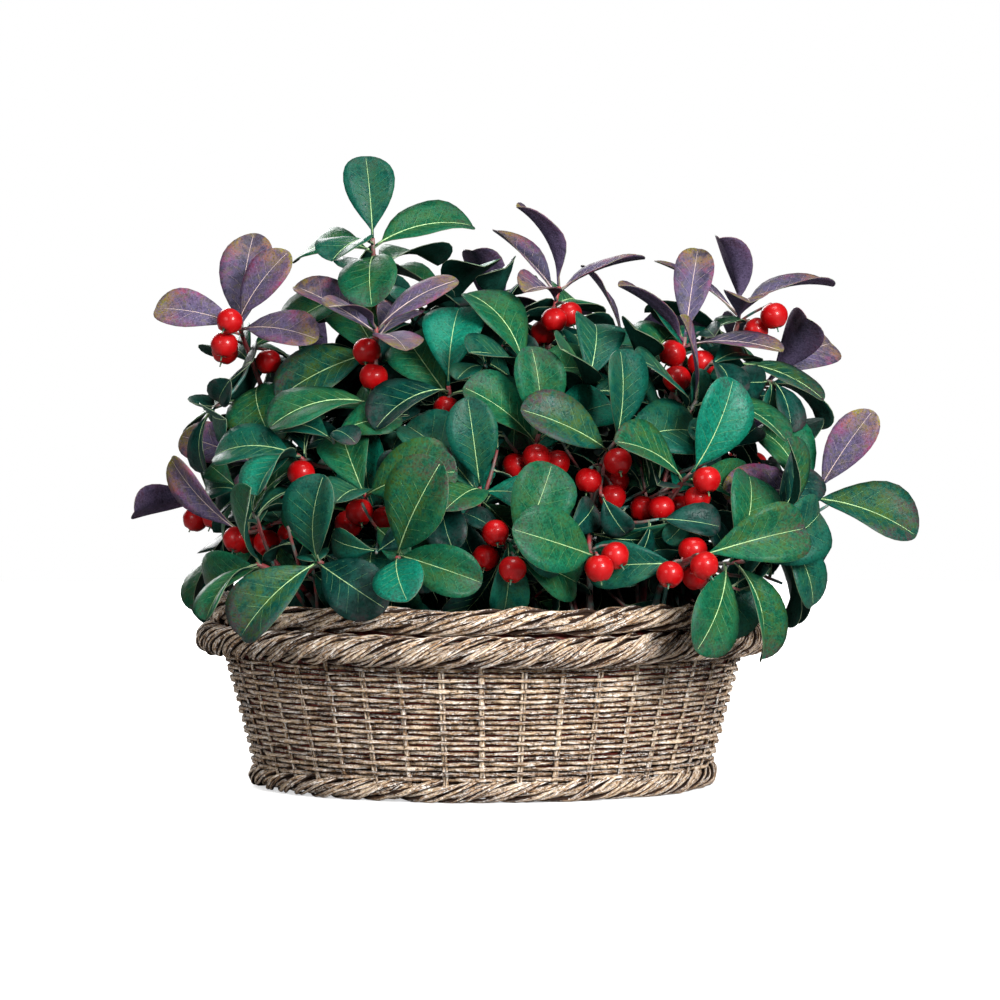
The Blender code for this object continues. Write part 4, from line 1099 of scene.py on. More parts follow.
def back_from_tip(points, distance):
    """The point of a path of straight rods that lies this far back from its last point."""
    for near_tip, further in zip(points[::-1], points[-2::-1]):
        step = (near_tip - further).length
        if distance <= step:
            return near_tip.lerp(further, distance / step)
        distance -= step
    return points[0]


def blade_share(share, p=BLADE_BASE_POWER, q=BLADE_TIP_POWER):
    """Half-width of an obovate blade, as a share of its greatest, at each share of the leaf's length."""
    s = np.clip((np.asarray(share, float) - PETIOLE_SHARE) / (1 - PETIOLE_SHARE), 0, 1)
    peak = p / (p + q)
    return s**p * (1 - s) ** q / (peak**p * (1 - peak) ** q)


def blade_half_width(share, width):
    """Half-width of a blade in metres, nowhere narrower than its stalk."""
    return max(PETIOLE_WIDTH / 2, width / 2 * float(blade_share(share)))


def leaf_point(leaf, share, across, above):
    """A point of the leaf: share of its length, across from -1 to 1, above its middle surface in metres."""
    bend = leaf.arch * share
    run = leaf.length / leaf.arch * math.sin(bend)
    drop = leaf.length / leaf.arch * (1 - math.cos(bend))
    face = leaf.face * math.cos(bend) + leaf.way * math.sin(bend)
    side = leaf.way.cross(leaf.face)
    half = blade_half_width(share, leaf.width) * across
    middle = leaf.root + leaf.way * run - leaf.face * drop
    return middle + side * half * math.cos(leaf.fold) + face * (abs(half) * math.sin(leaf.fold) + above)


def leaf_tree(leaf, grow, first=0):
    """The leaf's outline as rings of four corners between two poles, grown by a clearance, for testing."""
    corners, faces = [], []
    last = len(TEST_SECTIONS) - 1
    for ring, share in enumerate(TEST_SECTIONS):
        share = TEST_SECTIONS[max(ring, first)]
        half = blade_half_width(share, leaf.width)
        if ring in (0, last):
            corners.append(leaf_point(leaf, share + (grow / leaf.length if ring == last else 0), 0, 0))
            continue
        wide = 1 + grow / half
        above = half * math.sin(leaf.fold) + grow
        corners += [
            leaf_point(leaf, share, 0, -TEST_KEEL - grow),
            leaf_point(leaf, share, wide, 0),
            leaf_point(leaf, share, 0, above),
            leaf_point(leaf, share, -wide, 0),
        ]
    tip = len(corners) - 1
    for k in range(4):
        beside = (k + 1) % 4
        faces += [(0, 1 + k, 1 + beside), (tip, tip - 4 + k, tip - 4 + beside)]
        for ring in range(last - 2):
            low = 1 + 4 * ring
            faces.append((low + k, low + beside, low + 4 + beside, low + 4 + k))
    return BVHTree.FromPolygons(corners, faces)


def test_tree(corners, faces):
    """A shape from arrays, for testing."""
    return BVHTree.FromPolygons([Vector(corner) for corner in corners], faces.tolist())


def across_path(path):
    """A direction square to each path, for carrying a rod's section along it."""
    return unit(np.cross(unit(np.gradient(path, axis=1)), ASIDE))


def rod_tree(points, radii, sides):
    """A tapering rod along points, for testing."""
    path = np.array(points)[None]
    return test_tree(*tubes(path, np.array(radii, float)[None], across_path(path), sides)[:2])


def guard_ring(rope):
    """A plain ring a little fatter than a border, which no leaf may touch."""
    return test_tree(*plain_ring(rope, rope.thickness + LEAF_CLEARANCE, GUARD_STEPS)[:2])


def guard_pot():
    """The compost's surface and the liner's free edge, which no leaf may cross."""
    turn = np.linspace(0, TAU, STAKES, endpoint=False)
    floor = SOIL_TOP + 0.0015
    profile = np.array([(0, floor), (COLLAR_RADIUS, floor), (COLLAR_RADIUS, LINER_TOP)])
    corners = ring_path(turn, profile[:, :1], profile[:, 1:]).reshape(-1, 3)
    return test_tree(corners, tube_faces(1, 3, STAKES, False))


def touches(tree, others):
    """True if the tested shape meets any of the others."""
    return any(tree.overlap(other) for other in others)


def leaf_offers(seed, first_turn, count, path, tip_axis, size, young, ways_allowed):
    """Every place that the leaf rule offers on a shoot, youngest leaf first: for each a list of Leaf tries.
    Leaf k stands a golden angle on from the last, and off the shoot's axis by about
    YOUNG_TILT + TILT_SPREAD (1 - exp(-k / TILT_PACE)) degrees."""
    draw = random.Random(seed)
    full = plant_settings().leaf_length
    offers = []
    for k in range(count):
        crowded = min(k, CROWN_LEAVES - 1)
        back = CROWN_GAP * crowded + STEM_GAP * (k - crowded)
        tilt = YOUNG_TILT + TILT_SPREAD * (1 - math.exp(-k / TILT_PACE)) + draw.uniform(*TILT_WANDER)
        full_length = full * size * (1.0 if k else YOUNGEST_SIZE) * draw.uniform(*SIZE_RANGE)
        width_share = (YOUNG_WIDTH_SHARE if k < young else LEAF_WIDTH_SHARE) * draw.uniform(*WIDTH_RANGE)
        arch = math.radians(draw.uniform(*ARCH_RANGE)) * (YOUNG_ARCH_SHARE if k < young else 1)
        fold = math.radians(draw.uniform(*FOLD_RANGE))
        roll = math.radians(draw.uniform(*ROLL_RANGE))
        wander = draw.uniform(*TURN_WANDER)
        root = back_from_tip(path, back)
        axis = back_from_tip(path, max(0, back - TIP_RADIUS)) - back_from_tip(path, back + TIP_RADIUS)
        if axis.length < TIP_RADIUS / 2:
            continue
        axis = tip_axis if k < CROWN_LEAVES else axis.normalized()
        level = Vector((0, 0, 1)).cross(axis).normalized()
        tries = []
        for more_turn, more_tilt, share in ways_allowed:
            turn = math.radians(first_turn + wander + more_turn) + GOLDEN_ANGLE * k
            outward = Matrix.Rotation(turn, 3, axis) @ level
            lift = math.radians(min(max(tilt + more_tilt, TILT_LIMITS[0]), TILT_LIMITS[1]))
            way = axis * math.cos(lift) + outward * math.sin(lift)
            face = (axis - way * axis.dot(way)).normalized()
            face = Matrix.Rotation(roll, 3, way) @ face
            length = full_length * share
            tries.append(Leaf(root, way, face, length, length * width_share, arch, fold))
        offers.append((k, tries))
    return offers


def shoot_berries(stem, number, shoot, path):
    """Berries hang just under a shoot's crowded leaves, fanned out on its sunny side."""
    draw = random.Random(f"{stem.name} {number} {shoot.turn} berries")
    sunny = Vector((shoot.x, shoot.y - SUN_REACH, 0)).normalized()
    light = Vector((0, -1 if shoot.y < SUN_REACH / 2 else 1, 0.1))
    found = []
    for k in range(shoot.berries):
        root = back_from_tip(path, BERRY_START + BERRY_STEP * k)
        fan = math.radians(BERRY_FAN[k] + draw.uniform(*BERRY_FAN_WANDER))
        outward = Matrix.Rotation(fan, 3, "Z") @ sunny
        drop = Vector((0, 0, draw.uniform(*BERRY_DROP)))
        found.append(Berry(root, root + outward * BERRY_REACH - drop, light, (stem.name, number)))
    return found


def ball_corners(centre, radius):
    """An icosahedron's corners and faces, for testing."""
    shape = bmesh.new()
    bmesh.ops.create_icosphere(shape, subdivisions=1, radius=radius)
    corners = [corner.co + centre for corner in shape.verts]
    faces = [[corner.index for corner in face.verts] for face in shape.faces]
    shape.free()
    return corners, faces


def berry_trees(berry):
    """The berry alone, and the berry with the clear way in front of it."""
    corners, faces = ball_corners(berry.centre, plant_settings().berry_radius + LEAF_CLEARANCE)
    own = BVHTree.FromPolygons(corners, faces)
    far = berry.centre + berry.light * LIGHT_WAY
    path = np.array([berry.centre[:], far[:]])[None]
    aside = np.zeros_like(path) + (1.0, 0, 0)
    way, way_faces, _ = tubes(path, np.array([LIGHT_RADII]), aside, 5)
    start = len(corners)
    corners += [Vector(corner) for corner in way]
    return own, BVHTree.FromPolygons(corners, faces + (way_faces + start).tolist())


def grown_stem(stem):
    """Control points of the stem's main shoot, then of the side shoot that branches off it."""
    foot = Vector((stem.x, stem.y, SOIL_TOP + FIT_GAP))
    tips = [Vector((shoot.x, shoot.y, shoot.z)) for shoot in stem.shoots]
    main = stem_controls(foot, Vector((0, 0, 1)), tips[0], shoot_axis(stem.shoots[0]))
    start = bezier(main, SIDE_SHARE)
    way = (bezier(main, SIDE_SHARE + SMALL_STEP) - start).normalized()
    return main, stem_controls(start, way, tips[1], shoot_axis(stem.shoots[1]))


def twig_paths(main, side, steps):
    """The main twig from the fork to its tip, and the side twig from where it leaves the main one."""
    span = (main[3] - main[0]).length
    main_path = path_between(main, FORK_SHARE + 1.3 * FIT_GAP / span, 1, steps)
    start = back_from_tip(main_path, span * (1 - SIDE_SHARE - FORK_SHARE))
    return main_path, [start, *path_between(side, 0, 1, steps)[1:]]


def fine_twigs(stem, paths, number):
    """The finer twigs of one shoot, each with its path, its tip's axis and its first leaf's turn. Each leaves
    the shoot further up, turned on by the golden angle and a random turn."""
    draw = random.Random(f"{stem.name} {number} fine")
    path = paths[number]
    length = sum((b - a).length for a, b in zip(path, path[1:]))
    found = []
    for k, (share, reach, lean) in enumerate(FINE_TWIGS):
        back = length * (1 - share) * FINE_BACK
        start = back_from_tip(path, back)
        ahead = (back_from_tip(path, back - 0.002) - start).normalized()
        level = Vector((0, 0, 1)).cross(ahead)
        level = level.normalized() if level.length > 1e-4 else Vector((1, 0, 0))
        turn = GOLDEN_ANGLE * k + math.radians(draw.uniform(0, 360))
        outward = Matrix.Rotation(turn, 3, ahead) @ level
        tilt = math.radians(lean + draw.uniform(*FINE_LEAN_WANDER))
        axis = (ahead * math.cos(tilt) + outward * math.sin(tilt) + Vector((0, 0, 0.25))).normalized()
        reach *= draw.uniform(*FINE_LENGTHS)
        tip = start + axis * reach
        tip_axis = (axis + Vector((0, 0, 0.3))).normalized()
        controls = stem_controls(start, (ahead + outward).normalized(), tip, tip_axis)
        found.append((path_between(controls, 0, 1, 4), tip_axis, draw.uniform(0, 360)))
    return found


def low_shoots(stem):
    """Short shoots from the foot of a stem, which fill the crown just above the compost, given as finer twigs
    are."""
    draw = random.Random(f"{stem.name} low")
    found = []
    for k in range(LOW_SHOOTS):
        turn = GOLDEN_ANGLE * k + draw.uniform(0, TAU)
        out = Vector((math.cos(turn), math.sin(turn), 0))
        foot = Vector((stem.x, stem.y, SOIL_TOP)) + out * LOW_START
        tip = foot + out * draw.uniform(*LOW_REACH) + Vector((0, 0, draw.uniform(*LOW_RISE)))
        furthest = COLLAR_RADIUS - 0.006
        if tip.xy.length > furthest:
            tip.xy = tip.xy.normalized() * furthest
        axis = (out * 0.8 + Vector((0, 0, 1))).normalized()
        controls = stem_controls(foot, Vector((0, 0, 1)), tip, axis)
        found.append((path_between(controls, 0, 1, 4), axis, draw.uniform(0, 360)))
    return found


class Crown:
    """All that has been given a place: leaves, berries, twigs, and what a new leaf must keep clear of."""

    def __init__(self):
        self.bars = [guard_ring(OUTER_BORDER), guard_ring(UPPER_BORDER), guard_pot()]
        self.foreign = {}  # for each stem, the twigs of all the others
        self.fruit = []  # each berry's stem, its shape, and that shape with its way to the light
        self.placed = []
        self.berries = []
        self.twigs = []
        self.tips = None

    def add_berry(self, stem, berry, others):
        """Takes a berry in if it touches no bar, no other stem's twig and none of the others."""
        alone, lit = berry_trees(berry)
        if touches(alone, self.bars) or touches(alone, self.foreign[stem.name]) or touches(alone, others):
            return False
        self.berries.append(berry)
        self.fruit.append((stem.name, alone, lit))
        return True

    def deal(self, name, tries, kind, clearance):
        """Gives the first of the tries that touches nothing it may not its place."""
        for leaf in tries:
            if kind == "inner" and not self.within_reach(leaf):
                continue
            whole = leaf_tree(leaf, clearance)
            if touches(whole, self.bars) or touches(whole, self.foreign[name]):
                continue
            if touches(whole, [own for owner, own, _ in self.fruit if owner != name]):
                continue
            blade = leaf_tree(leaf, clearance, first=1)
            if touches(blade, [lit for _, _, lit in self.fruit]):
                continue
            near = [spot for spot in self.placed if (spot.leaf.root - leaf.root).length < NEAR_ROOTS]
            if touches(blade, [spot.blade for spot in near if spot.owner == name]):
                continue
            if touches(whole, [spot.whole for spot in near if spot.owner != name]):
                continue
            self.placed.append(Placed(leaf, whole, blade, name, kind))
            return True
        return False

    def crowd_berries(self, stem, number, shoot):
        """Fills a shoot's cluster up with berries beside those that hang there, toward their sunny side."""
        draw = random.Random(f"{stem.name} {number} crowd")
        own = [berry for berry in self.berries if berry.shoot == (stem.name, number)]
        if not own:
            return
        size = 2 * plant_settings().berry_radius
        sunny = Vector((0, 0.7 * own[0].light.y, -0.2))
        for _ in range(CROWD_TRIES):
            if len(own) >= shoot.berries:
                return
            beside = draw.choice(own)
            way = Vector([draw.uniform(-1, 1) for _ in range(3)]) + sunny
            centre = beside.centre + way.normalized() * size * draw.uniform(*CROWD_SPACING)
            if (centre - beside.root).length > CROWD_REACH:
                continue
            if any((centre - other.centre).length < CROWD_CLOSEST * size for other in self.berries):
                continue
            berry = Berry(beside.root, centre, beside.light, beside.shoot)
            if self.add_berry(stem, berry, ()):
                own.append(berry)

    def measure_reach(self):
        """Notes where the leaves' tips lie about the crown's heart."""
        self.tips = np.array([leaf_point(spot.leaf, 1.0, 0, 0) for spot in self.placed]) - HEART

    def within_reach(self, leaf):
        """True if the leaf's tip stays inside what the solids reach that way, and clear of the rim."""
        point = leaf_point(leaf, 1.0, 0, 0)
        tip = np.array(point) - HEART
        size = np.linalg.norm(tip)
        along = self.tips @ (tip / size)
        near = along > SAME_WAY * np.linalg.norm(self.tips, axis=1)
        inside = bool(near.any()) and size < FINE_REACH * along[near].max()
        return inside and not (point.xy.length > COLLAR_RADIUS - 0.004 and point.z < RIM_CLEAR)


@functools.lru_cache(maxsize=1)
def crown():
    """Grows every stem, then deals out the berries and the leaves, each where it is clear of those before it,
    and grows a finer twig wherever a leaf on it has found its place."""
    made = Crown()
    controls, paths, twig_trees = {}, {}, {}
    for stem in STEMS:
        main, side = controls[stem.name] = grown_stem(stem)
        paths[stem.name] = twig_paths(main, side, TWIG_STEPS)
        radii = [STEM_FLARE_RADIUS, *np.linspace(STEM_RADIUS, FORK_RADIUS, 5)]
        made.bars.append(rod_tree(path_between(main, 0, FORK_SHARE, 5), radii, 5))
        twig_trees[stem.name] = [
            rod_tree(path, np.linspace(thick, TIP_RADIUS, len(path)), 3)
            for path, thick in zip(paths[stem.name], (FORK_RADIUS, SIDE_TWIG_RADIUS))
        ]
    for stem in STEMS:
        others = (trees for name, trees in twig_trees.items() if name != stem.name)
        made.foreign[stem.name] = [tree for trees in others for tree in trees]
    for stem in STEMS:
        for number, shoot in enumerate(stem.shoots):
            for berry in shoot_berries(stem, number, shoot, paths[stem.name][number]):
                made.add_berry(stem, berry, [other for _, other, _ in made.fruit])
            made.crowd_berries(stem, number, shoot)

    offers = []
    for stem in STEMS:
        for number, shoot in enumerate(stem.shoots):
            found = leaf_offers(
                f"{stem.name} {number} {shoot.turn}", shoot.turn, shoot.leaves, paths[stem.name][number],
                shoot_axis(shoot), 1.0, shoot.young, TRIES,
            )
            offers += [(k, stem.name, tries, "young" if k < shoot.young else "green") for k, tries in found]
    for _, name, tries, kind in sorted(offers, key=lambda offer: offer[0]):
        made.deal(name, tries, kind, LEAF_CLEARANCE)
    made.measure_reach()
    for stem in STEMS:
        main, side = twig_paths(*controls[stem.name], 10)
        made.twigs.append(Twig(main, FORK_RADIUS, TIP_RADIUS, "main"))
        made.twigs.append(Twig(side, SIDE_TWIG_RADIUS, TIP_RADIUS, "side"))

    offers, fine_paths = [], []
    for stem in STEMS:
        shoots = [(low, LOW_LEAVES, LOW_SIZE) for low in low_shoots(stem)]
        for number in (0, 1):
            shoots += [(twig, FINE_LEAVES, FINE_SIZE) for twig in fine_twigs(stem, paths[stem.name], number)]
        for number, ((path, axis, turn), count, size) in enumerate(shoots):
            seed = f"{stem.name} fine {number}"
            for k, tries in leaf_offers(seed, turn, count, path, axis, size, 0, FINE_TRIES):
                offers.append((k, stem.name, tries, len(fine_paths)))
            fine_paths.append(path)
    grown = {}
    for _, name, tries, at in sorted(offers, key=lambda offer: offer[0]):
        if made.deal(name, tries, "inner", FINE_CLEARANCE):
            grown[at] = Twig(fine_paths[at], *FINE_RADII, "fine")
    made.twigs += grown.values()
    return made


# The plant's surfaces

Mesh = namedtuple("Mesh", "along across")  # where along a leaf, and where across it, its mesh has corners
OUTER_MESH = Mesh(
    np.array([0, 0.05, 0.10, 0.17, 0.26, 0.36, 0.46, 0.56, 0.66, 0.75, 0.83, 0.89, 0.94, 0.972, 0.992, 1.0]),
    np.array([-1.0, -0.7, -0.35, 0.0, 0.35, 0.7, 1.0]),
)
INNER_MESH = Mesh(
    np.array([0.0, 0.055, 0.11, 0.21, 0.34, 0.48, 0.62, 0.75, 0.86, 0.94, 0.985, 1.0]),
    np.array([-1.0, -0.55, 0.0, 0.55, 1.0]),
)
FOLD_DEEPER, FOLD_MORE = 2.0, math.radians(10)  # the thin blades fold more than the solids'
THICKNESS_SHARES = (2.75, 2.25, 1.0, 0.75)  # of a blade's thickness, at these shares of its length
THICKNESS_PLACES = (0, 0.1, 0.2, 1)
TOP, UNDER, EDGE = range(3)  # the parts of a leaf's shell
BLADE_FINISHES = {
    # The blade's own colour, then beside its midrib and, as painted light, on one half of the folded blade,
    # at its outer rim, at its tip and in flecks; how far it is flushed with them; and its roughness.
    "deep": ("deep olive green bronze green", 0.35, 0.40),
    "teal": ("teal green deep bronze green", 0.45, 0.40),
    "green": ("green olive deep bronze olive", 0.50, 0.40),
    "olive": ("green olive olive bronze deep", 0.85, 0.40),
    "dark": ("dark deep bronze bronze deep", 0.50, 0.40),
    "bronze": ("deep olive bronze bronze olive", 0.85, 0.40),
    "plum": ("plum mauve pink tip dun", 0.85, 0.50),
    "mauve": ("mauve plum pink tip dun", 1.0, 0.50),
}
TINTS = {  # the finishes that each kind of leaf may take, and how often
    "green": (("deep", 6), ("teal", 4), ("green", 6), ("olive", 5), ("dark", 3), ("bronze", 3)),
    "young": (("plum", 5), ("mauve", 5)),
    # painted shade: the inner leaves take mostly the dark and deep finishes, for the shade inside the crown
    "inner": (("dark", 6), ("deep", 5), ("green", 1)),
}
VEIN_STARTS = np.array([0.17, 0.28, 0.40, 0.52, 0.64])
VEIN_LEAF = 0.044  # the veins' thicknesses are those of a leaf this long


def leaf_arrays(leaves):
    """The leaves' numbers as arrays, one row a leaf."""
    return {key: np.array([getattr(leaf, key) for leaf in leaves]) for key in Leaf._fields}


def leaf_grids(leaves, mesh, rng):
    """Top and under surfaces of all leaves on one grid of u along and v across, each (leaves, u, v, 3).
    The midrib bends away from the face on an arc, and sways aside by u squared. At v the blade rises by
    |v| sin(fold), falls by v squared toward its edge, and waves there by sin(waves * u)."""
    a = leaf_arrays(leaves)
    count = len(leaves)
    u, v = mesh.along[:, None], mesh.across
    one = lambda key: a[key][:, None, None]
    bend = one("arch") * u
    run = one("length") / one("arch") * np.sin(bend)
    drop = one("length") / one("arch") * (1 - np.cos(bend))
    way, face = a["way"][:, None, None], a["face"][:, None, None]
    side = np.cross(way, face)
    up = face * np.cos(bend)[..., None] + way * np.sin(bend)[..., None]
    base, end = rng.uniform(0.92, 1.15, (count, 1, 1)), rng.uniform(0.46, 0.66, (count, 1, 1))
    half = np.maximum(one("width") / 2 * blade_share(u, base, end), PETIOLE_WIDTH / 2 * (u < 0.9))
    fold = one("fold") * FOLD_DEEPER + FOLD_MORE
    curl = rng.uniform(0.06, 0.20, (count, 1, 1))
    waves, phase = rng.uniform(5, 10, (count, 1, 1)), rng.uniform(0, TAU, (count, 1, 1))
    ripple = np.sin(waves * u + phase + np.sign(v) * 0.8) * np.abs(v) ** 3
    ripple = rng.uniform(0.02, 0.09, (count, 1, 1)) * ripple
    sway = rng.uniform(-0.10, 0.10, (count, 1, 1)) * one("length") * u**2
    lift = half * (np.abs(v) * np.sin(fold) - curl * v**2 + ripple)
    middle = a["root"][:, None, None] + way * run[..., None] - face * drop[..., None]
    top = middle + side * (sway + half * v * np.cos(fold))[..., None] + up * lift[..., None]
    thick = np.interp(mesh.along, THICKNESS_PLACES, THICKNESS_SHARES) * plant_settings().leaf_thickness
    edge = 1 - 0.25 * np.abs(mesh.across)
    under = top - up * (thick[:, None] * edge)[None, ..., None]
    return top, under, up


def leaf_faces(count, mesh):
    """Quads of the shells: top, under, the two edges and the root's end, with the part that each belongs to.
    The root's end counts as under."""
    rows, columns = len(mesh.along), len(mesh.across)
    base = 2 * rows * columns * np.arange(count)[:, None, None]
    i, j = np.meshgrid(np.arange(rows - 1), np.arange(columns - 1), indexing="ij")
    at = lambda i, j, low=0: i * columns + j + low * rows * columns
    top = np.stack([at(i, j), at(i, j + 1), at(i + 1, j + 1), at(i + 1, j)], -1).reshape(-1, 4)
    under = np.stack([at(i, j, 1), at(i + 1, j, 1), at(i + 1, j + 1, 1), at(i, j + 1, 1)], -1).reshape(-1, 4)
    k, last = np.arange(rows - 1), columns - 1
    right = np.stack([at(k, last), at(k, last, 1), at(k + 1, last, 1), at(k + 1, last)], -1)
    left = np.stack([at(k, 0), at(k + 1, 0), at(k + 1, 0, 1), at(k, 0, 1)], -1)
    m = np.arange(last)
    end = np.stack([at(0, m), at(0, m, 1), at(0, m + 1, 1), at(0, m + 1)], -1)
    parts = np.repeat([TOP, UNDER, EDGE, UNDER], [len(top), len(under), 2 * len(right), len(end)])
    one = np.concatenate([top, under, right, left, end])
    return (one[None] + base).reshape(-1, 4), np.tile(parts, count)


def on_leaf(top, mesh, u, v):
    """Points of the leaves at u along and v across, mixed between the grid's four corners round them."""
    i = np.clip(np.searchsorted(mesh.along, u) - 1, 0, len(mesh.along) - 2)
    j = np.clip(np.searchsorted(mesh.across, v) - 1, 0, len(mesh.across) - 2)
    s = ((u - mesh.along[i]) / (mesh.along[i + 1] - mesh.along[i]))[..., None]
    t = ((v - mesh.across[j]) / (mesh.across[j + 1] - mesh.across[j]))[..., None]
    near = top[:, i, j] * (1 - t) + top[:, i, j + 1] * t
    far = top[:, i + 1, j] * (1 - t) + top[:, i + 1, j + 1] * t
    return near * (1 - s) + far * s


def vein_tubes(top, up, mesh, lengths):
    """Midribs, then side veins, as fine rods that stand out of the upper face: a side vein starts at u on the
    midrib and runs to v = 0.85 while u grows by 0.2 t^0.8 (1 - 0.3 u)."""
    scale = (lengths / VEIN_LEAF)[:, None]
    middle = len(mesh.along) // 2
    u = np.linspace(0.05, 0.97, 11)
    outward = np.repeat(up[:, middle : middle + 1, 0], len(u), 1)
    thick = np.interp(u, [0, 0.3, 0.97], [0.00048, 0.00032, 0.00011]) * scale
    ribs = tubes(on_leaf(top, mesh, u, 0 * u) + outward * 0.00006, thick, outward, 4, flat=0.8)
    share = np.array([0.02, 0.35, 0.7, 1.0])
    parts = []
    for start in VEIN_STARTS:
        for side in (-1, 1):
            u = start + 0.20 * share**0.8 * (1 - start * 0.3) + (0.02 if side > 0 else 0)
            path = on_leaf(top, mesh, u, side * 0.85 * share)
            outward = np.repeat(up[:, middle : middle + 1, 0], len(share), 1)
            thick = np.array([0.00013, 0.00010, 0.00007, 0.00003]) * scale
            parts.append(tubes(path + outward * 0.00002, thick, outward, 3))
    return ribs, joined(parts)


def leaf_finishes():
    """The blade's finishes by name, then those of the underside, the edge and the veins."""
    plant = plant_settings()
    half = lambda colour: [0.6 * channel for channel in colour]
    made = {}
    for name, (colours, flush, roughness) in BLADE_FINISHES.items():
        tints = [getattr(plant, key) for key in colours.split()]
        made[name] = leaf_finish("leaf_" + name, *tints, flush, roughness)
    tints = plant.under, plant.under, plant.under, half(plant.bronze), plant.deep
    made["under"] = leaf_finish("leaf_under", *tints, 0.5, 0.7, True)
    tints = plant.mauve, half(plant.plum), half(plant.pink), plant.under, half(plant.plum)
    made["under_young"] = leaf_finish("leaf_under_young", *tints, 0.4, 0.7, True)
    for name, material, colour, tint in (
        # the green leaves' pale edge is partly a painted highlight along the blade's edge
        ("margin", "leaf_edge", plant.margin, half(plant.margin)),
        ("margin_young", "leaf_edge_young", plant.margin_young, plant.margin),
        ("vein", "leaf_vein", plant.vein, half(plant.vein)),
        ("vein_side", "leaf_vein_side", plant.vein_side, half(plant.vein_side)),
        ("vein_young", "leaf_vein_young", plant.vein_young, half(plant.vein_young)),
        ("vein_side_young", "leaf_vein_side_young", half(plant.vein_young), plant.mauve),
    ):
        made[name] = plain_finish(material, colour, tint, 0.5)
    return made


def foliage_piece(name, mesh, finishes, ending, rng):
    """One joined mesh of all blades of a kind, one of their midribs and, except for the inner leaves, one of
    their side veins. ending picks the finishes of their undersides, edges and veins."""
    leaves = [spot.leaf for spot in crown().placed if spot.kind == name]
    top, under, up = leaf_grids(leaves, mesh, rng)
    corners = np.stack([top, under], 1).reshape(-1, 3)
    faces, parts = leaf_faces(len(leaves), mesh)
    draw = random.Random(name)
    worn = [*BLADE_FINISHES, "under" + ending, "margin" + ending]
    choices, weights = zip(*TINTS[name])
    tints = [worn.index(draw.choices(choices, weights)[0]) for _ in leaves]
    shades = np.repeat(tints, len(parts) // len(leaves))
    shades = np.select([parts == UNDER, parts == EDGE], [len(worn) - 2, len(worn) - 1], shades)
    u, v = np.meshgrid(mesh.along, mesh.across, indexing="ij")
    own = np.repeat(np.arange(len(leaves), dtype=float), 2).reshape(-1, 2, 1, 1)
    blade = np.stack(np.broadcast_arrays(u, v, own), -1).reshape(-1, 3)
    worn, marks = [finishes[part] for part in worn], {"blade": blade}
    blades = surface("gaultheria_leaves_" + name, corners, faces, worn, shades, marks, parts == EDGE)
    dress(blades, "leaf", *LEAF_NODES)
    ribs, sides = vein_tubes(top, up, mesh, np.array([leaf.length for leaf in leaves]))
    for kind, finish, (rods, rod_faces, _) in (("ribs", "vein", ribs), ("veins", "vein_side", sides)):
        if kind == "veins" and mesh is INNER_MESH:
            continue  # these leaves stand in the shade, and their finish has furrows
        veins = surface(f"gaultheria_{kind}_{name}", rods, rod_faces, [finishes[finish + ending]])
        dress(veins, "leaf", *LEAF_NODES)


class GAULTHERIA_OT_leaves(bpy.types.Operator):
    """Grows the leaves with their veins, green ones and young purple ones apart"""

    bl_idname = "gaultheria.leaves"
    bl_label = "Leaves"

    def execute(self, context):
        rng = np.random.default_rng(7)
        finishes = leaf_finishes()
        foliage_piece("green", OUTER_MESH, finishes, "", rng)
        foliage_piece("inner", INNER_MESH, finishes, "", rng)
        foliage_piece("young", OUTER_MESH, finishes, "_young", rng)
        return {"FINISHED"}


def bare_stems(rng):
    """The stems from under the compost's top to their forks: a root flare, leaf scars at even steps, and bark
    with seven ribs that wind slowly round. Returns corners, faces and marks."""
    steps, sides = 40, 14
    share = np.linspace(0, 1, steps)
    paths = np.array([path_between(grown_stem(stem)[0], 0, FORK_SHARE, steps - 1) for stem in STEMS])
    paths[:, 0, 2] -= STEM_BURIED
    taper = np.interp(share, FLARE_PLACES, FLARE_RADII)
    scars = SCAR_HEIGHT * np.maximum(0, np.sin(share * 34 + rng.uniform(0, TAU, (len(STEMS), 1)))) ** 12
    radii = taper + scars + 0.00006 * rng.uniform(-1, 1, (len(STEMS), steps))
    corners, faces, marks = tubes(paths, radii, across_path(paths), sides)
    ribs = RIB_HEIGHT * np.sin(7 * TAU * marks["grain"][:, 1] + 60 * marks["grain"][:, 0])
    centre = np.repeat(np.concatenate([paths[:, :1], paths, paths[:, -1:]], 1).reshape(-1, 3), sides, 0)
    outward = corners - centre
    on_bark = np.linalg.norm(outward, axis=1) > 1e-5
    return corners + unit(outward) * (ribs * on_bark)[:, None], faces, marks


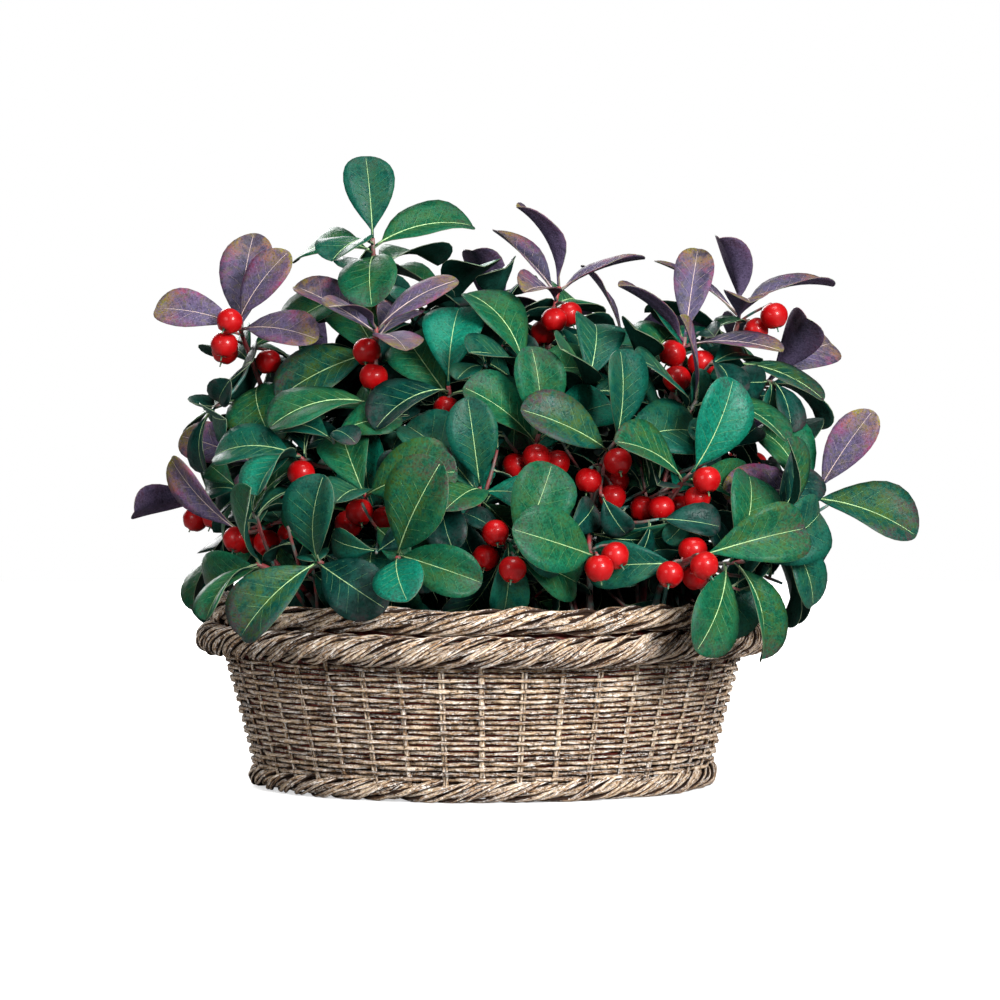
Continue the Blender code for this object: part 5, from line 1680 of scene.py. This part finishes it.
class GAULTHERIA_OT_stems(bpy.types.Operator):
    """Grows the bare stems, with root flare, leaf scars and ribbed bark, then the twigs that they bear"""

    bl_idname = "gaultheria.stems"
    bl_label = "Stems"

    def execute(self, context):
        plant = plant_settings()
        rng = np.random.default_rng(23)
        corners, faces, marks = bare_stems(rng)
        brown = [part * 0.6 for part in plant.bark_red]
        finish = plain_finish("stem_bark", plant.bark, brown, 0.6, scale=150.0)
        dress(surface("gaultheria_stems", corners, faces, [finish], marks=marks), "stem", *STEM_NODES)
        for name, kinds, colours in (
            ("twigs", ("main", "side"), (plant.bark_red, plant.bark)),
            ("fine_twigs", ("fine",), (plant.bark, plant.bark_red)),
        ):
            chosen = [twig for twig in crown().twigs if twig.kind in kinds]
            paths = np.array([twig.points for twig in chosen])
            share = np.linspace(0, 1, paths.shape[1])
            low = np.array([twig.low for twig in chosen])[:, None]
            high = np.array([twig.high for twig in chosen])[:, None]
            radii = (low + (high - low) * share) * (1 + 0.12 * rng.uniform(-1, 1, (len(chosen), len(share))))
            corners, faces, marks = tubes(paths, radii, across_path(paths), 8)
            finish = plain_finish("bark_" + name, *colours, 0.5, scale=110.0)
            dress(surface("gaultheria_" + name, corners, faces, [finish], marks=marks), "stem", *LEAF_NODES)
        return {"FINISHED"}


def turned_toward(points, axes):
    """points (n, 3) turned so that +Z goes to each of the axes: (axes, n, 3)."""
    aside = unit(np.cross(axes, (0.31, 0.91, 0.27)))
    beyond = np.cross(axes, aside)
    frames = np.stack([aside, beyond, axes], 1)
    return np.einsum("nk,akc->anc", points, frames)


def berry_shape():
    """A ripe berry about its own middle, apex at +Z, on a grid of polar angle p and turn t: its radius is 1,
    swelling in five soft lobes toward the apex, drawn in by a dimple there and a small one at the stalk."""
    polar = np.concatenate([np.linspace(0, 0.6, 7), np.linspace(0.75, math.pi, 12)])[:, None]
    turn = np.linspace(0, TAU, 20, endpoint=False)
    dimple = 0.17 * np.exp(-((polar / 0.22) ** 2)) - 0.045 * np.exp(-(((polar - 0.50) / 0.22) ** 2))
    lobes = 0.035 * np.cos(5 * turn) * np.exp(-(((polar - 0.62) / 0.40) ** 2))
    radius = 1 - dimple + lobes - 0.10 * np.exp(-(((polar - math.pi) / 0.35) ** 2))
    ring = radius * np.sin(polar)
    corners = ring_path(turn, ring, 0.94 * radius * np.cos(polar))
    faces = tube_faces(1, len(polar), len(turn), False)[:, ::-1]
    return corners.reshape(-1, 3), faces


def star_shape():
    """The dried style that hangs from the dimple, with a five-pointed collar at its root."""
    turn = np.linspace(0, TAU, 10, endpoint=False)
    star = 0.62 + 0.38 * np.cos(5 * turn)
    rings = (  # each ring's radius, its height, and whether it has the points
        (0.0, 0.66, 0), (0.26, 0.84, 1), (0.24, 0.88, 1), (0.075, 0.86, 0),
        (0.05, 1.10, 0), (0.06, 1.22, 0), (0.0, 1.24, 0),
    )
    corners = np.stack([ring_path(turn, out * (star if pointed else 1), up) for out, up, pointed in rings])
    return corners.reshape(-1, 3), tube_faces(1, len(rings), len(turn), False)


class GAULTHERIA_OT_berries(bpy.types.Operator):
    """Hangs the berries with their stalks and stars"""

    bl_idname = "gaultheria.berries"
    bl_label = "Berries"

    def execute(self, context):
        plant = plant_settings()
        rng = np.random.default_rng(50)
        berries = crown().berries
        centres = np.array([berry.centre for berry in berries])
        roots = np.array([berry.root for berry in berries])
        axes = unit(0.5 * unit(centres - roots) + (0, 0, -1.1) + 0.22 * rng.normal(size=centres.shape))
        size = plant.berry_radius * rng.uniform(0.93, 1.02, (len(berries), 1, 1))
        style = plain_finish("berry_style", plant.calyx, plant.bark, 0.5, 600.0)
        for name, (shape, faces), finish in (
            ("gaultheria_berries", berry_shape(), berry_finish()),
            ("gaultheria_berry_styles", star_shape(), style),
        ):
            corners = turned_toward(shape, axes) * size + centres[:, None]
            all_faces = (faces + len(shape) * np.arange(len(berries))[:, None, None]).reshape(-1, 4)
            dress(surface(name, corners.reshape(-1, 3), all_faces, [finish]), "leaf", *LEAF_NODES)
        share = np.linspace(0, 1, 7)[:, None]
        sag = np.array((0, 0, STALK_ARCH)) * (share * (1 - share))[None]
        dimples = centres - axes * 0.8 * plant.berry_radius
        paths = roots[:, None] * (1 - share) + dimples[:, None] * share + sag
        thick = np.interp(share[:, 0], STALK_PLACES, STALK_RADII)[None] * np.ones((len(berries), 1))
        corners, faces, marks = tubes(paths, thick, across_path(paths), 7)
        finish = plain_finish("berry_stalk", plant.bark, plant.bark_red, 0.5)
        dress(surface("gaultheria_berry_stalks", corners, faces, [finish], marks=marks), "leaf", *LEAF_NODES)
        return {"FINISHED"}


# The stage


LIT_HEIGHT = 0.12
LIGHTS = (  # each light's name, its place about the basket's axis, its size and its power
    ("key_light", (1.1, -1.9, 0.95), 0.8, 104),
    ("fill_light", (-1.1, -1.5, 0.7), 0.8, 14),
    ("top_light", (0.2, -0.5, 2.0), 0.8, 26),
    ("back_light", (-0.7, 2.0, 0.9), 1.2, 46),
)
FLOOR_RADII = np.array([0.0, 0.3, 0.7, 1.2, 1.7])[:, None]
FLOOR_DROP = 0.0001
FLOOR_BOUNCE = 0.25  # of the floor's colour, for anything but the camera
FLOOR_GLOW = (0.60, 0.60, 0.60)
SURROUND_LIGHT = 0.10  # of the white surround's light, for anything but the camera


def area_light(name, place, size, power):
    """A square soft light at this place about the basket's axis, turned toward the plant."""
    lamp = bpy.data.lights.new(name, "AREA")
    lamp.size, lamp.energy = size, power
    made = bpy.data.objects.new(name, lamp)
    made.location = Vector(AXIS + place)
    aim = Vector((AXIS[0], AXIS[1], LIT_HEIGHT))
    made.rotation_euler = (aim - made.location).to_track_quat("-Z", "Y").to_euler()
    bpy.context.scene.collection.objects.link(made)


class GAULTHERIA_OT_stage(bpy.types.Operator):
    """Lays the pale floor, sets the lights and puts the camera where the photograph was taken"""

    bl_idname = "gaultheria.stage"
    bl_label = "Stage"

    def execute(self, context):
        stage = context.scene.gaultheria_stage
        turn = np.linspace(0, TAU, RING_STEPS, endpoint=False)
        corners = ring_path(turn, FLOOR_RADII, -FLOOR_DROP).reshape(-1, 3)
        finish, tree, shader = new_finish("pale_floor", 0.85, Emission_Strength=1.0)
        seen = wired(tree, "ShaderNodeLightPath").outputs["Is Camera Ray"]
        bounced = [FLOOR_BOUNCE * channel for channel in stage.floor]
        tree.links.new(painted(tree, rgba(bounced), seen, stage.floor), shader.inputs["Base Color"])
        tree.links.new(painted(tree, (0, 0, 0, 1), seen, FLOOR_GLOW), shader.inputs["Emission Color"])
        faces = tube_faces(1, len(FLOOR_RADII), RING_STEPS, False)[:, ::-1]
        surface("studio_floor", corners, faces, [finish])

        world = bpy.data.worlds.new("studio_world")
        context.scene.world = world
        world.use_nodes = True
        tree = world.node_tree
        tree.nodes.clear()
        seen = wired(tree, "ShaderNodeLightPath").outputs["Is Camera Ray"]
        strength = spread(tree, seen, 0.0, 1.0, SURROUND_LIGHT, 1.0)
        sky = wired(tree, "ShaderNodeBackground", {"Color": (1, 1, 1, 1), "Strength": strength})
        out = wired(tree, "ShaderNodeOutputWorld", {"Surface": sky.outputs[0]})
        out.is_active_output = True

        for light in LIGHTS:
            area_light(*light)

        lens = bpy.data.cameras.new("photo_camera")
        lens.lens, lens.sensor_width = stage.lens, 36
        lens.clip_start, lens.clip_end = 0.05, 60
        camera = bpy.data.objects.new("photo_camera", lens)
        aim = Vector((AXIS[0] + stage.aim_x, AXIS[1], stage.aim_z))
        back = Vector((0, -math.cos(stage.elevation), math.sin(stage.elevation)))
        camera.location = aim + back * stage.distance
        camera.rotation_euler = (-back).to_track_quat("-Z", "Y").to_euler()
        context.scene.collection.objects.link(camera)
        context.scene.camera = camera
        context.scene.view_settings.view_transform = "Standard"
        return {"FINISHED"}


class GAULTHERIA_PT_panel(bpy.types.Panel):
    """Lists the pieces and their settings"""

    bl_label = "Potted gaultheria"
    bl_idname = "GAULTHERIA_PT_panel"
    bl_space_type = "VIEW_3D"
    bl_region_type = "UI"
    bl_category = "Gaultheria"

    def draw(self, context):
        for name in SETTINGS:
            group = getattr(context.scene, name)
            box = self.layout.box()
            for key in type(group).__annotations__:
                box.prop(group, key)
        for operator in OPERATORS:
            self.layout.operator(operator.bl_idname)


OPERATORS = (
    GAULTHERIA_OT_borders,
    GAULTHERIA_OT_weave,
    GAULTHERIA_OT_stakes,
    GAULTHERIA_OT_base,
    GAULTHERIA_OT_liner,
    GAULTHERIA_OT_compost,
    GAULTHERIA_OT_stems,
    GAULTHERIA_OT_leaves,
    GAULTHERIA_OT_berries,
    GAULTHERIA_OT_stage,
)
SETTINGS = {
    "gaultheria_basket": BasketSettings,
    "gaultheria_plant": PlantSettings,
    "gaultheria_stage": StageSettings,
}
CLASSES = (*SETTINGS.values(), *OPERATORS, GAULTHERIA_PT_panel)


def register():
    """Registers the classes, and hangs each group of settings on the scene."""
    for kind in CLASSES:
        bpy.utils.register_class(kind)
    for name, kind in SETTINGS.items():
        setattr(bpy.types.Scene, name, PointerProperty(type=kind))


def unregister():
    """Takes the settings off the scene, and the classes out."""
    for name in SETTINGS:
        delattr(bpy.types.Scene, name)
    for kind in reversed(CLASSES):
        bpy.utils.unregister_class(kind)


def main():
    """Makes every piece in order."""
    register()
    for operator in OPERATORS:
        getattr(bpy.ops.gaultheria, operator.bl_idname.split(".")[1])()
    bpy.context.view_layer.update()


if __name__ == "__main__":
    main()
